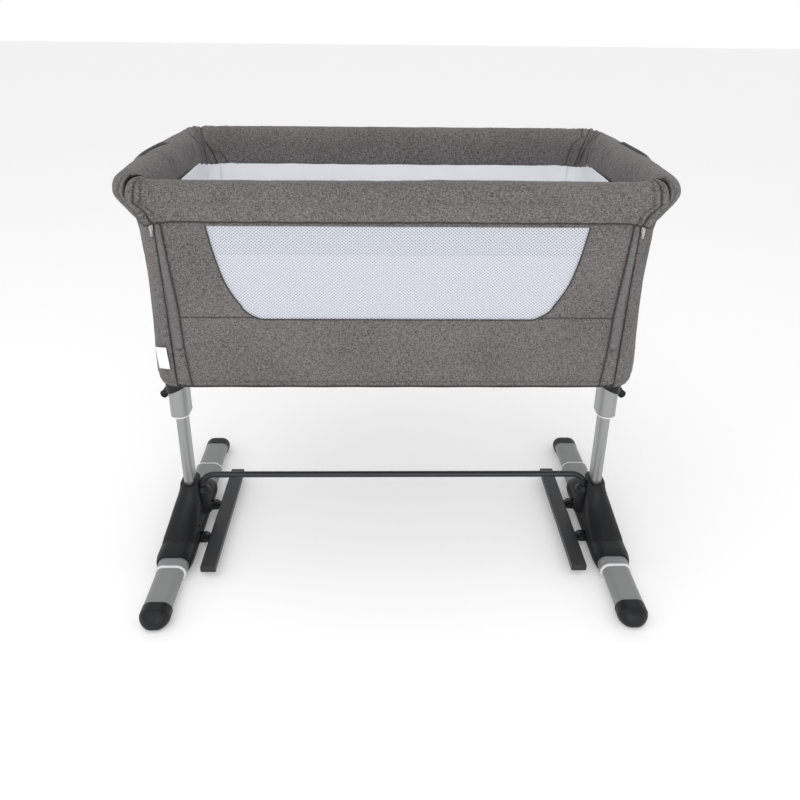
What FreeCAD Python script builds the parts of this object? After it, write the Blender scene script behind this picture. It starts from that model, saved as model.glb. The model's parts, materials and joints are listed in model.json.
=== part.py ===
import FreeCAD, Part
import os
import math

V = FreeCAD.Vector
os.makedirs("parts", exist_ok=True)

# ---------------------------------------------------------------- driving dimensions, mm
# Frame: origin on the floor under the middle of the stand, +X along the length, -Y is the
# drop side, +Z up.  The crib is symmetric left and right.

# feet
FOOT_X = 465.0            # foot axis from the middle
FOOT_Z = 22.0             # foot axis above the floor
FOOT_IN_W, FOOT_IN_H = 57.0, 30.0      # sliding foot tube, flat oval
FOOT_OUT_W, FOOT_OUT_H = 64.0, 37.0    # fixed foot tube, flat oval
FOOT_WALL = 1.6
FOOT_OUT_HALF = 192.0     # fixed tube runs from -192 to +192 in Y
FOOT_IN_START = 104.0     # sliding tube starts here, inside the fixed tube
CAP_EDGE = 295.0          # cap's open edge
CAP_TIP = 338.0
FOOT_STROKE = 90.0

# hub on the foot
HUB_FRONT, HUB_BACK = 168.0, 120.0      # hub reaches further forward than back
HUB_HALF_W = 39.0
HUB_TOP = 122.0
SCREW_Y, SCREW_Z = (-66.0, 44.0), 45.6   # screws that join the hub halves

# legs
LEG_X = 458.0
LEG_W, LEG_L = 22.0, 43.0              # lower leg tube, X by Y
LEG_TOP = 376.0
SLEEVE_W, SLEEVE_L = 38.0, 66.0        # upper leg tube
SLEEVE_BOTTOM, SLEEVE_TOP = 300.0, 560.0
COLLAR_W, COLLAR_L = 44.0, 72.0
COLLAR_BOTTOM, COLLAR_TOP = 357.0, 484.0
PIVOT_X, PIVOT_Z = 417.0, 474.0        # basket tilt pin, under the end rail
HOLE_Z, HOLE_STEP, HOLES = 357.0, 26.25, 5

# crossbar
BAR_R = 7.0
BAR_Z = 136.0
BAR_END_X = 433.0
BAR_BEND = 30.0

# hinged floor bars
FLAT_X0, FLAT_X1 = 374.0, 406.0
FLAT_Z0, FLAT_Z1 = 15.0, 30.0
FLAT_HALF = 183.0
FLAT_PIVOT_X, FLAT_PIVOT_Z = 417.0, 22.0
FLAT_ARM_Y = (-75.0, 45.0)

# basket
BODY_BOTTOM = 487.0
BODY_TOP = 785.5
TOP_HX, TOP_HY, TOP_R = 431.0, 279.0, 66.0
BOT_HX, BOT_HY, BOT_R = 433.0, 254.0, 62.0
WALL = 3.0
ZIP_X = 384.5
RIM_X, RIM_Y = 430.0, 257.0            # padding centre line
RIM_W, RIM_H, RIM_Z0 = 64.0, 72.0, 786.0
RAIL_W, RAIL_H, RAIL_Z0 = 60.0, 62.0, 790.0
FRONT_CX, FRONT_CY, FRONT_CR = 383.0, -210.0, 47.0
BACK_CX, BACK_CY, BACK_CR = 394.0, 221.0, 36.0
SPLIT_DEG = 62.0                       # where the zip parts rail and corner padding
TUBE_R = 10.0
HINGE_Y, HINGE_Z = -249.5, 491.0       # drop-side hinge line
ARM_X = 375.0
WINDOW = [(303.0, 784.0), (293.0, 728.0), (276.5, 675.0), (262.0, 650.0), (246.0, 630.0), (228.0, 621.0)]

# release knobs
KNOB_P = (466.0, 0.0, 361.0)
KNOB_D = (0.77, 0.0, -0.638)


# ---------------------------------------------------------------- helpers
def stadium_wire(c, u, v, a, b):
    """Flat oval: full length a along u, full width b along v, round ends."""
    c, u, v = V(*c), V(*u), V(*v)
    r = b / 2.0
    s = a / 2.0 - r
    p1, p2 = c + u * s + v * r, c - u * s + v * r
    p3, p4 = c - u * s - v * r, c + u * s - v * r
    return Part.Wire([
        Part.makeLine(p1, p2),
        Part.Arc(p2, c - u * (s + r), p3).toShape(),
        Part.makeLine(p3, p4),
        Part.Arc(p4, c + u * (s + r), p1).toShape()])


def foot_wire(x, y, z, w, h):
    return stadium_wire((x, y, z), (1, 0, 0), (0, 0, 1), w, h)


def leg_wire(x, z, w, l, y=0.0):
    return stadium_wire((x, y, z), (0, 1, 0), (1, 0, 0), l, w)


def prism(wire, vec):
    return Part.Face(wire).extrude(V(*vec))


def foot_prism(x, y0, y1, z, w, h):
    return prism(foot_wire(x, y0, z, w, h), (0, y1 - y0, 0))


def leg_prism(x, z0, z1, w, l):
    return prism(leg_wire(x, z0, w, l), (0, 0, z1 - z0))


def box(x0, x1, y0, y1, z0, z1):
    return Part.makeBox(x1 - x0, y1 - y0, z1 - z0, V(x0, y0, z0))


def cyl(p, d, r, l):
    return Part.makeCylinder(r, l, V(*p), V(*d))


def rod(p, q, r):
    p, q = V(*p), V(*q)
    return Part.makeCylinder(r, (q - p).Length, p, q - p)


def mirror_x(s):
    return s.mirror(V(0, 0, 0), V(1, 0, 0))


def rrect_wire(hx, hy, r, z, cx=0.0, cy=0.0):
    """Rounded rectangle in plan, counter-clockwise from the +X side."""
    k = r * (1 - math.cos(math.radians(45)))
    P = lambda x, y: V(cx + x, cy + y, z)
    e = []
    e.append(Part.makeLine(P(hx, -hy + r), P(hx, hy - r)))
    e.append(Part.Arc(P(hx, hy - r), P(hx - k, hy - k), P(hx - r, hy)).toShape())
    e.append(Part.makeLine(P(hx - r, hy), P(-hx + r, hy)))
    e.append(Part.Arc(P(-hx + r, hy), P(-hx + k, hy - k), P(-hx, hy - r)).toShape())
    e.append(Part.makeLine(P(-hx, hy - r), P(-hx, -hy + r)))
    e.append(Part.Arc(P(-hx, -hy + r), P(-hx + k, -hy + k), P(-hx + r, -hy)).toShape())
    e.append(Part.makeLine(P(-hx + r, -hy), P(hx - r, -hy)))
    e.append(Part.Arc(P(hx - r, -hy), P(hx - k, -hy + k), P(hx, -hy + r)).toShape())
    return Part.Wire(e)


def rrect_prism(hx, hy, r, z0, z1, cx=0.0, cy=0.0):
    return prism(rrect_wire(hx, hy, r, z0, cx, cy), (0, 0, z1 - z0))


def section_wire(c, u, w, z0, h, r):
    """Rounded section: width w along the plan direction u about c, from z0 up by h."""
    c, u = V(c[0], c[1], 0), V(*u)
    k = r * (1 - math.cos(math.radians(45)))
    a = w / 2.0
    P = lambda s, z: c + u * s + V(0, 0, z0 + z)
    return Part.Wire([
        Part.makeLine(P(a, r), P(a, h - r)),
        Part.Arc(P(a, h - r), P(a - k, h - k), P(a - r, h)).toShape(),
        Part.makeLine(P(a - r, h), P(-a + r, h)),
        Part.Arc(P(-a + r, h), P(-a + k, h - k), P(-a, h - r)).toShape(),
        Part.makeLine(P(-a, h - r), P(-a, r)),
        Part.Arc(P(-a, r), P(-a + k, k), P(-a + r, 0)).toShape(),
        Part.makeLine(P(-a + r, 0), P(a - r, 0)),
        Part.Arc(P(a - r, 0), P(a - k, k), P(a, r)).toShape()])


def turn(face, centre, deg):
    return face.revolve(V(centre[0], centre[1], 0), V(0, 0, 1), deg)


def clean(s):
    try:
        s = s.removeSplitter()
    except Exception:
        pass
    return s


NODES = {}


def add(name, shape):
    solids = shape.Solids if not isinstance(shape, list) else shape
    if isinstance(shape, list):
        shape = Part.makeCompound(shape)
    elif len(solids) == 1:
        shape = solids[0]
    else:
        shape = Part.makeCompound(solids)
    NODES[name] = shape


# ---------------------------------------------------------------- feet
def foot_tube():
    out = foot_prism(FOOT_X, -FOOT_OUT_HALF, FOOT_OUT_HALF, FOOT_Z, FOOT_OUT_W, FOOT_OUT_H)
    hole = foot_prism(FOOT_X, -FOOT_OUT_HALF - 1, FOOT_OUT_HALF + 1, FOOT_Z,
                      FOOT_OUT_W - 2 * FOOT_WALL, FOOT_OUT_H - 2 * FOOT_WALL)
    return out.cut(hole)


def foot_bush(sgn):
    """White guide ring: a flange on the fixed tube's end and a skirt inside it."""
    y0 = FOOT_OUT_HALF
    flange = foot_prism(FOOT_X, y0, y0 + 3.0, FOOT_Z, FOOT_OUT_W + 1.0, FOOT_OUT_H + 1.0)
    skirt = foot_prism(FOOT_X, y0 - 16, y0, FOOT_Z, FOOT_OUT_W - 2 * FOOT_WALL - 0.1, FOOT_OUT_H - 2 * FOOT_WALL - 0.1)
    hole = foot_prism(FOOT_X, y0 - 20, y0 + 8, FOOT_Z, FOOT_IN_W + 0.16, FOOT_IN_H + 0.16)
    s = flange.fuse(skirt).cut(hole)
    if sgn < 0:
        s = s.mirror(V(0, 0, 0), V(0, 1, 0))
    return clean(s)


def foot_slider(sgn):
    end = CAP_EDGE + 15.0
    out = foot_prism(FOOT_X, FOOT_IN_START, end, FOOT_Z, FOOT_IN_W, FOOT_IN_H)
    hole = foot_prism(FOOT_X, FOOT_IN_START - 1, end + 1, FOOT_Z, FOOT_IN_W - 2 * FOOT_WALL, FOOT_IN_H - 2 * FOOT_WALL)
    s = out.cut(hole)
    if sgn < 0:
        s = s.mirror(V(0, 0, 0), V(0, 1, 0))
    return s


def foot_cap(sgn):
    """Black end cap: sleeve over the tube, flat underneath, rounded nose with two thumb grooves."""
    def sec(y, w, z0, z1):
        return foot_wire(FOOT_X, y, (z0 + z1) / 2.0, w, z1 - z0)
    straight = prism(sec(CAP_EDGE, 60, 0, 39), (0, 20, 0))
    nose = Part.makeLoft([sec(CAP_EDGE + 20, 60, 0, 39), sec(CAP_EDGE + 28, 55, 0.6, 36.5),
                          sec(CAP_EDGE + 35, 45, 2.2, 31.5), sec(CAP_EDGE + 40, 32, 5, 25.5),
                          sec(CAP_TIP, 16, 9, 19)], True, False)
    s = straight.fuse(nose)
    s = s.cut(foot_prism(FOOT_X, CAP_EDGE - 1, CAP_EDGE + 15.05, FOOT_Z, FOOT_IN_W + 0.1, FOOT_IN_H + 0.1))
    s = clean(s)
    if sgn < 0:
        s = s.mirror(V(0, 0, 0), V(0, 1, 0))
    return s


for side, m in (("right", False), ("left", True)):
    f = mirror_x if m else (lambda s: s)
    add("foot_tube_" + side, f(foot_tube()))
    for end, sgn in (("front", -1), ("back", 1)):
        add("foot_slider_%s_%s" % (end, side), f(foot_slider(sgn)))
        add("foot_cap_%s_%s" % (end, side), f(foot_cap(sgn)))
bushes = [foot_bush(-1), foot_bush(1)]
add("foot_bushes", bushes + [mirror_x(s) for s in bushes])


# ---------------------------------------------------------------- hubs, legs, crossbar
def hub_body():
    x = FOOT_X
    low = prism(foot_wire(x, -HUB_FRONT + 22, 24.0, 2 * HUB_HALF_W, 45.0), (0, HUB_FRONT + HUB_BACK - 44, 0))

    def nose(reach):
        return Part.makeLoft([foot_wire(x, reach - 22, 24.0, 2 * HUB_HALF_W, 45.0),
                              foot_wire(x, reach - 8, 23.6, 2 * HUB_HALF_W - 3.0, 43.5),
                              foot_wire(x, reach, 23.0, 2 * HUB_HALF_W - 7.0, 41.5)], True, False)
    low = low.fuse(nose(HUB_BACK)).fuse(nose(HUB_FRONT).mirror(V(0, 0, 0), V(0, 1, 0)))
    # height, centre X, width, forward reach, backward reach of each ring of the tower
    rings = [(24.0, FOOT_X, 74.0, 158.0, 100.0), (38.0, FOOT_X, 71.0, 148.0, 86.0), (48.0, FOOT_X - 0.5, 68.0, 122.0, 70.0),
             (60.0, FOOT_X - 1.5, 63.5, 92.0, 56.0), (76.0, FOOT_X - 3.0, 57.0, 65.0, 45.0), (92.0, FOOT_X - 5.0, 49.5, 47.0, 38.0),
             (108.0, LEG_X + 0.5, 42.5, 36.0, 33.5), (HUB_TOP, LEG_X, 38.5, 31.0, 31.0)]
    tower = Part.makeLoft([leg_wire(xc, z, w, f + b, (b - f) / 2.0) for z, xc, w, f, b in rings], True, False)
    boss = cyl((BAR_END_X, 0, 40), (0, 0, 1), 17.0, 58.0)
    cap = Part.makeCone(17.0, 11.0, 9.0, V(BAR_END_X, 0, 98.0))
    s = low.fuse(tower).fuse(boss).fuse(cap)
    ears = []
    for yc in FLAT_ARM_Y:
        for o in (-8.6, 4.4):
            b = box(FLAT_PIVOT_X, FOOT_X - 30, yc + o, yc + o + 4.2, FLAT_PIVOT_Z - 9, FLAT_PIVOT_Z + 9)
            e = cyl((FLAT_PIVOT_X, yc + o, FLAT_PIVOT_Z), (0, 1, 0), 9.0, 4.2)
            ears.append(b.fuse(e))
    for e in ears:
        s = s.fuse(e)
    # hollow inside the tower round the leg socket
    cav = Part.makeLoft([leg_wire(FOOT_X, 42.0, 58.0, 156.0, -16.0), leg_wire(FOOT_X - 2, 58.0, 50.0, 112.0, -12.0),
                         leg_wire(LEG_X + 1, 80.0, 38.0, 76.0, -4.0)], True, False)
    sock = leg_prism(LEG_X, 30.0, 130.0, LEG_W + 8, LEG_L + 8)
    keep = sock.fuse(cyl((BAR_END_X, 0, 40), (0, 0, 1), 12.0, 66.0))
    for yb in SCREW_Y:
        keep = keep.fuse(box(FOOT_X - 45, FOOT_X + 45, yb - 6, yb + 6, 38, 56))
    cav = cav.cut(keep)
    s = s.cut(cav)
    s = s.cut(foot_prism(x, -HUB_FRONT - 5, HUB_BACK + 5, FOOT_Z, FOOT_OUT_W + 0.1, FOOT_OUT_H + 0.1))
    s = s.cut(leg_prism(LEG_X, 30.0, 130.0, LEG_W + 0.1, LEG_L + 0.1))
    s = s.cut(cyl((BAR_END_X, 0, 60.0), (0, 0, 1), BAR_R + 0.05, 80.0))
    s = s.cut(box(x - 60, x + 60, -200, 200, -5, 1.5))
    for yc in FLAT_ARM_Y:
        s = s.cut(cyl((FLAT_PIVOT_X, yc - 12, FLAT_PIVOT_Z), (0, 1, 0), 4.0, 24.0))
        # room for the arm's eye between the ears
        s = s.cut(box(FLAT_PIVOT_X - 15, FLAT_PIVOT_X + 11.6, yc - 4.4, yc + 4.4, FLAT_PIVOT_Z - 13, FLAT_PIVOT_Z + 13))
    for yb in SCREW_Y:
        s = s.cut(cyl((FOOT_X - 50, yb, SCREW_Z), (1, 0, 0), 2.1, 72.0))
        s = s.cut(cyl((FOOT_X - 50, yb, SCREW_Z), (1, 0, 0), 3.5, 22.0))
    s = s.cut(cyl((BAR_END_X - 25, 0, 88.0), (1, 0, 0), 2.0, 26.0))
    return s


hub = hub_body()
outer_half = hub.common(box(FOOT_X, FOOT_X + 90, -250, 250, -10, 160))
inner_half = hub.common(box(FOOT_X - 110, FOOT_X, -250, 250, -10, 160))


def biggest(s):
    return max(s.Solids, key=lambda q: q.Volume)


outer_half, inner_half = biggest(outer_half), biggest(inner_half)
add("hub_outer_right", outer_half)
add("hub_inner_right", inner_half)
add("hub_outer_left", mirror_x(outer_half))
add("hub_inner_left", mirror_x(inner_half))

screws = []
for yb in SCREW_Y:
    sh = cyl((FOOT_X - 28.0, yb, SCREW_Z), (1, 0, 0), 2.08, 48.0)
    hd = cyl((FOOT_X - 30.5, yb, SCREW_Z), (1, 0, 0), 3.4, 2.5)
    dr = cyl((FOOT_X - 30.6, yb, SCREW_Z), (1, 0, 0), 1.4, 1.6)
    screws.append(sh.fuse(hd).cut(dr))
stand_screws = screws + [mirror_x(s) for s in screws]

leg = leg_prism(LEG_X, 60.0, LEG_TOP, LEG_W, LEG_L).cut(leg_prism(LEG_X, 59.0, LEG_TOP + 1, LEG_W - 3.2, LEG_L - 3.2))
for i in range(HOLES):
    leg = leg.cut(cyl((LEG_X + 5, 0, HOLE_Z - HOLE_STEP * i), (1, 0, 0), 4.2, 20.0))
add("leg_tube_right", leg)
add("leg_tube_left", mirror_x(leg))

plug = leg_prism(LEG_X, 36.0, 60.0, LEG_W, LEG_L).fuse(leg_prism(LEG_X, 60.0, 84.0, LEG_W - 3.3, LEG_L - 3.3))
plug = clean(plug.cut(foot_prism(FOOT_X, -60, 60, FOOT_Z, FOOT_OUT_W + 0.02, FOOT_OUT_H + 0.02)))
add("leg_plugs", [plug, mirror_x(plug)])


def crossbar_solid(r):
    run = cyl((-BAR_END_X + BAR_BEND, 0, BAR_Z), (1, 0, 0), r, 2 * (BAR_END_X - BAR_BEND))
    s = run
    for sg in (1, -1):
        circ = Part.Face(Part.Wire(Part.makeCircle(r, V(sg * (BAR_END_X - BAR_BEND), 0, BAR_Z), V(1, 0, 0))))
        arc = circ.revolve(V(sg * (BAR_END_X - BAR_BEND), 0, BAR_Z - BAR_BEND), V(0, sg, 0), 90)
        down = cyl((sg * BAR_END_X, 0, 72.0), (0, 0, 1), r, BAR_Z - BAR_BEND - 72.0)
        s = s.fuse(arc).fuse(down)
    return s


bar = crossbar_solid(BAR_R)
core = crossbar_solid(BAR_R - 1.5).fuse([cyl((sg * BAR_END_X, 0, 70.0), (0, 0, 1), BAR_R - 1.5, 10.0) for sg in (1, -1)])
bar = bar.cut(core)
for sg in (1, -1):
    bar = bar.cut(cyl((sg * BAR_END_X, 0, 88.0), (-sg, 0, 0), 2.0, 20.0))
add("crossbar", clean(bar))

bs = cyl((BAR_END_X - 16.9, 0, 88.0), (1, 0, 0), 1.97, 14.0).fuse(cyl((BAR_END_X - 19.4, 0, 88.0), (1, 0, 0), 4.0, 2.3))
bs = bs.cut(cyl((BAR_END_X - 19.5, 0, 88.0), (1, 0, 0), 1.5, 1.6))
add("stand_screws", stand_screws + [bs, mirror_x(bs)])

# hinged floor bars
flat = box(FLAT_X0, FLAT_X1, -FLAT_HALF, FLAT_HALF, FLAT_Z0, FLAT_Z1)
flat = flat.makeFillet(2.5, [e for e in flat.Edges if abs(abs(e.CenterOfMass.y)) < 1.0])
flat = flat.makeFillet(1.0, [e for e in flat.Edges if abs(abs(e.CenterOfMass.y) - FLAT_HALF) < 0.1])
hollow = box(FLAT_X0 + 1.6, FLAT_X1 - 1.6, -FLAT_HALF + 2, FLAT_HALF - 2, FLAT_Z0 + 1.6, FLAT_Z1 - 1.6)
flat = flat.cut(hollow)
add("floor_bar_right", flat)
add("floor_bar_left", mirror_x(flat))
arms, pins = [], []
for yc in FLAT_ARM_Y:
    a = box(FLAT_X1, FLAT_PIVOT_X, yc - 4, yc + 4, FLAT_Z0 + 0.5, FLAT_Z1 - 0.5)
    a = a.fuse(cyl((FLAT_PIVOT_X, yc - 4, FLAT_PIVOT_Z), (0, 1, 0), 10.6, 8.0))
    a = a.cut(box(FLAT_X0, FLAT_X1, yc - 6, yc + 6, 0, 45))
    a = a.cut(cyl((FLAT_PIVOT_X, yc - 10, FLAT_PIVOT_Z), (0, 1, 0), 4.0, 20.0))
    arms.append(clean(a))
    p = cyl((FLAT_PIVOT_X, yc - 9.0, FLAT_PIVOT_Z), (0, 1, 0), 3.95, 18.2)
    p = p.fuse(cyl((FLAT_PIVOT_X, yc - 11.0, FLAT_PIVOT_Z), (0, 1, 0), 5.6, 2.2))
    p = p.fuse(cyl((FLAT_PIVOT_X, yc + 8.8, FLAT_PIVOT_Z), (0, 1, 0), 5.0, 1.6))
    pins.append(p)
add("bar_arms_right", arms)
add("bar_arms_left", [mirror_x(s) for s in arms])
add("bar_pins", pins + [mirror_x(s) for s in pins])


# ---------------------------------------------------------------- lifting sleeves
KD = V(*KNOB_D)
KD.normalize()
KP = V(*KNOB_P)


def along(s):
    return KP + KD * s


def kcyl(s0, s1, r):
    return Part.makeCylinder(r, s1 - s0, along(s0), KD)


def sleeve():
    s = leg_prism(LEG_X, SLEEVE_BOTTOM, SLEEVE_TOP, SLEEVE_W, SLEEVE_L)
    s = s.cut(leg_prism(LEG_X, SLEEVE_BOTTOM - 1, SLEEVE_TOP + 1, SLEEVE_W - 3.6, SLEEVE_L - 3.6))
    return s.cut(kcyl(-6, 30, 4.1))


def bush(clear):
    """White liner: a thin lip under the sleeve and a long guide inside it."""
    lip = leg_prism(LEG_X, SLEEVE_BOTTOM - 2.5, SLEEVE_BOTTOM, SLEEVE_W + 1.0, SLEEVE_L + 1.0)
    body = leg_prism(LEG_X, SLEEVE_BOTTOM, SLEEVE_BOTTOM + 40, SLEEVE_W - 3.7, SLEEVE_L - 3.7)
    hole = leg_prism(LEG_X, SLEEVE_BOTTOM - 5, SLEEVE_BOTTOM + 45, LEG_W + 2 * clear, LEG_L + 0.2)
    if clear > 0.5:
        hole = box(LEG_X - LEG_W / 2 - clear, LEG_X + LEG_W / 2 + clear, -LEG_L / 2 - 0.3, LEG_L / 2 + 0.3,
                   SLEEVE_BOTTOM - 5, SLEEVE_BOTTOM + 45)
        hole = hole.makeFillet(LEG_W / 2 - 1.0, [e for e in hole.Edges
                                                 if abs(e.Vertexes[0].Z - e.Vertexes[1].Z) > 20])
    return clean(lip.fuse(body).cut(hole))


def collar():
    """Black bracket on the sleeve's top, with a lug for the tilt pin and a boss for the knob."""
    z0, z1 = COLLAR_BOTTOM, COLLAR_TOP
    s = Part.makeLoft([leg_wire(LEG_X, z0, COLLAR_W, COLLAR_L), leg_wire(LEG_X, z0 + 40, COLLAR_W + 1, COLLAR_L + 2),
                       leg_wire(LEG_X, z1 - 20, COLLAR_W + 2, COLLAR_L + 4), leg_wire(LEG_X, z1, COLLAR_W - 2, COLLAR_L - 4)],
                      True, True)
    arm = box(PIVOT_X, LEG_X - 10, -11.6, 11.6, PIVOT_Z - 11.0, z1 - 1.0)
    arm = arm.fuse(cyl((PIVOT_X, -11.6, PIVOT_Z), (0, 1, 0), 11.0, 23.2))
    web = Part.Face(Part.makePolygon([V(LEG_X - 20.5, -4, PIVOT_Z - 9), V(PIVOT_X + 6, -4, PIVOT_Z - 9), V(LEG_X - 20.5, -4, PIVOT_Z - 52),
                                      V(LEG_X - 20.5, -4, PIVOT_Z - 9)])).extrude(V(0, 8, 0))
    s = s.fuse(arm).fuse(web).fuse(kcyl(4, 21.6, 10.5))
    # the lower edge rises towards the middle of the crib
    wedge = Part.Face(Part.makePolygon([V(LEG_X - 40, -60, z0 - 5), V(LEG_X + 8, -60, z0 - 5), V(LEG_X + 8, -60, z0 + 1.5),
                                        V(LEG_X - 40, -60, z0 + 21), V(LEG_X - 40, -60, z0 - 5)])).extrude(V(0, 120, 0))
    s = s.cut(wedge)
    s = s.cut(leg_prism(LEG_X, z0 - 20, SLEEVE_TOP, SLEEVE_W + 0.05, SLEEVE_L + 0.05))
    s = s.cut(cyl((PIVOT_X, -20, PIVOT_Z), (0, 1, 0), 5.05, 40.0))
    s = s.cut(kcyl(-6, 40, 3.6))
    return biggest(clean(s))


def knob():
    """Fluted pull knob with its lock pin; the pin's tip stays in the sleeve's wall."""
    grip = kcyl(22.4, 35.0, 8.5)
    dome = Part.makeCone(8.5, 6.0, 2.5, along(35.0), KD)
    s = grip.fuse(dome)
    for i in range(10):
        a = math.radians(36 * i)
        n1 = V(0, 1, 0)
        n2 = KD.cross(n1)
        o = n1 * math.cos(a) * 9.2 + n2 * math.sin(a) * 9.2
        s = s.cut(Part.makeCylinder(1.5, 11.0, along(24.5) + o, KD))
    s = s.fuse(kcyl(14.6, 23.0, 3.53))
    return clean(s)


sl, co, kn = sleeve(), collar(), knob()
add("leg_sleeve_right", sl)
add("leg_sleeve_left", mirror_x(sl))
cp = leg_prism(LEG_X, SLEEVE_TOP, SLEEVE_TOP + 6.0, SLEEVE_W + 1.0, SLEEVE_L + 1.0)
cp = cp.makeFillet(3.5, [e for e in cp.Edges if e.BoundBox.ZMin > SLEEVE_TOP + 5.9])
cp = clean(cp.fuse(leg_prism(LEG_X, SLEEVE_TOP - 12.0, SLEEVE_TOP, SLEEVE_W - 3.7, SLEEVE_L - 3.7)))
add("sleeve_cap_right", cp)
add("sleeve_cap_left", mirror_x(cp))
add("sleeve_bush_left", mirror_x(bush(0.08)))
add("sleeve_bush_right", bush(1.95))
add("leg_collar_right", co)
add("leg_collar_left", mirror_x(co))
add("release_knob_right", kn)
add("release_knob_left", mirror_x(kn))

# ---------------------------------------------------------------- basket base
FR_X, FR_Y, FR_Z = 412.0, 226.0, 499.5


def tube(p, q, r, wall=1.5):
    p, q = V(*p), V(*q)
    d = (q - p)
    d.normalize()
    a = Part.makeCylinder(r, (q - p).Length, p, d)
    b = Part.makeCylinder(r - wall, (q - p).Length + 2, p - d, d)
    return a.cut(b)


add("base_frame", [tube((-388, FR_Y, FR_Z), (388, FR_Y, FR_Z), TUBE_R), tube((-388, -FR_Y, FR_Z), (388, -FR_Y, FR_Z), TUBE_R),
                   tube((FR_X, -202, FR_Z), (FR_X, 202, FR_Z), TUBE_R), tube((-FR_X, -202, FR_Z), (-FR_X, 202, FR_Z), TUBE_R)])
corner = cyl((405.0, 219.0, FR_Z - 10), (0, 0, 1), 13.0, 20.0)
corner = corner.fuse(box(388.05, 405, FR_Y - 10, FR_Y + 10, FR_Z - 10, FR_Z + 10)).fuse(
    box(FR_X - 10, FR_X + 10, 202.05, 219, FR_Z - 10, FR_Z + 10))
corner = clean(corner)

board = box(-408, 408, -222, 222, 510.0, 514.0)
for sx in (1, -1):
    for sy in (1, -1):
        tri = Part.Face(Part.makePolygon([V(sx * 409, sy * 223, 509), V(sx * 362, sy * 223, 509), V(sx * 409, sy * 180, 509),
                                          V(sx * 409, sy * 223, 509)])).extrude(V(0, 0, 6))
        board = board.cut(tri)
add("base_board", board)
mat = rrect_prism(394.0, 218.0, 45.0, 514.2, 550.0, 0, 2.0)
mat = mat.makeFillet(9.0, [e for e in mat.Edges if abs(e.BoundBox.ZMax - e.BoundBox.ZMin) < 0.01 and e.BoundBox.ZMax > 549])
add("mattress", mat)


def arc_pt(cx, cy, r, deg):
    a = math.radians(deg)
    return (cx + r * math.cos(a), cy + r * math.sin(a))


RT = 12.0     # the rim tube lies nearer the inside of the padding
ft = arc_pt(FRONT_CX, FRONT_CY, FRONT_CR - RT, -30)
bt = arc_pt(BACK_CX, BACK_CY, BACK_CR - RT, 45)
RIM_TZ = 822.0
post_f = tube((404, -217, 510.3), (ft[0], ft[1], 811.0), 8.0)
post_b = tube((404, 217, 510.3), (bt[0], bt[1], 811.0), 8.0)
add("corner_posts", [post_f, post_b, mirror_x(post_f), mirror_x(post_b)])
# each corner block has a spigot inside its post
corners = []
for sy, q in ((-1, ft), (1, bt)):
    d = V(q[0] - 404, q[1] - sy * 217, 811.0 - 510.3)
    d.normalize()
    sp = Part.makeCylinder(6.45, 24.0, V(404, sy * 217, 510.3) - d * 8.0, d)
    cb = corner if sy > 0 else corner.mirror(V(0, 0, 0), V(0, 1, 0))
    cb = clean(cb.fuse(sp))
    corners += [cb, mirror_x(cb)]
add("base_corners", corners)


def rim_solid(r, grow=0.0):
    """Round bar along the rim: both sides, both back corners and the back."""
    x = RIM_X - RT
    y = RIM_Y - RT
    parts = []
    back = cyl((-BACK_CX, y, RIM_TZ), (1, 0, 0), r, 2 * BACK_CX)
    parts.append(back)
    for sg in (1, -1):
        parts.append(cyl((sg * x, FRONT_CY, RIM_TZ), (0, 1, 0), r, BACK_CY - FRONT_CY))
        f = Part.Face(Part.Wire(Part.makeCircle(r, V(sg * x, BACK_CY, RIM_TZ), V(0, 1, 0))))
        parts.append(turn(f, (sg * BACK_CX, BACK_CY), 90 * sg))
        f = Part.Face(Part.Wire(Part.makeCircle(r, V(sg * x, FRONT_CY, RIM_TZ), V(0, 1, 0))))
        parts.append(turn(f, (sg * FRONT_CX, FRONT_CY), -(50 + grow) * sg))
    s = parts[0]
    for p in parts[1:]:
        s = s.fuse(p)
    return s


rim = rim_solid(TUBE_R).cut(rim_solid(TUBE_R - 1.5, 2.0))
add("rim_tube", clean(rim))
rim_env = rim_solid(TUBE_R + 0.05, 3.0)
post_env = [rod((404, sy * 217, 509.5), (q[0], q[1], 811.0), 8.1) for sy, q in ((-1, ft), (1, bt))]


def side_pad():
    sec = Part.Face(section_wire((RIM_X, FRONT_CY), (1, 0, 0), RIM_W, RIM_Z0, RIM_H, 29.0))
    straight = sec.extrude(V(0, BACK_CY - FRONT_CY, 0))
    fr = turn(sec, (FRONT_CX, FRONT_CY), -(SPLIT_DEG - 1.0))
    sec2 = Part.Face(section_wire((RIM_X, BACK_CY), (1, 0, 0), RIM_W, RIM_Z0, RIM_H, 29.0))
    bk = turn(sec2, (BACK_CX, BACK_CY), 90)
    s = straight.fuse(fr).fuse(bk)
    s = s.cut(rim_env)
    for e in post_env:
        s = s.cut(e)
    return biggest(clean(s))


sp = side_pad()
add("rim_pad_right", sp)
add("rim_pad_left", mirror_x(sp))
secb = Part.Face(section_wire((-BACK_CX + 0.2, RIM_Y), (0, 1, 0), RIM_W, RIM_Z0, RIM_H, 29.0))
add("rim_pad_back", biggest(secb.extrude(V(2 * BACK_CX - 0.4, 0, 0)).cut(rim_env)))

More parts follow.
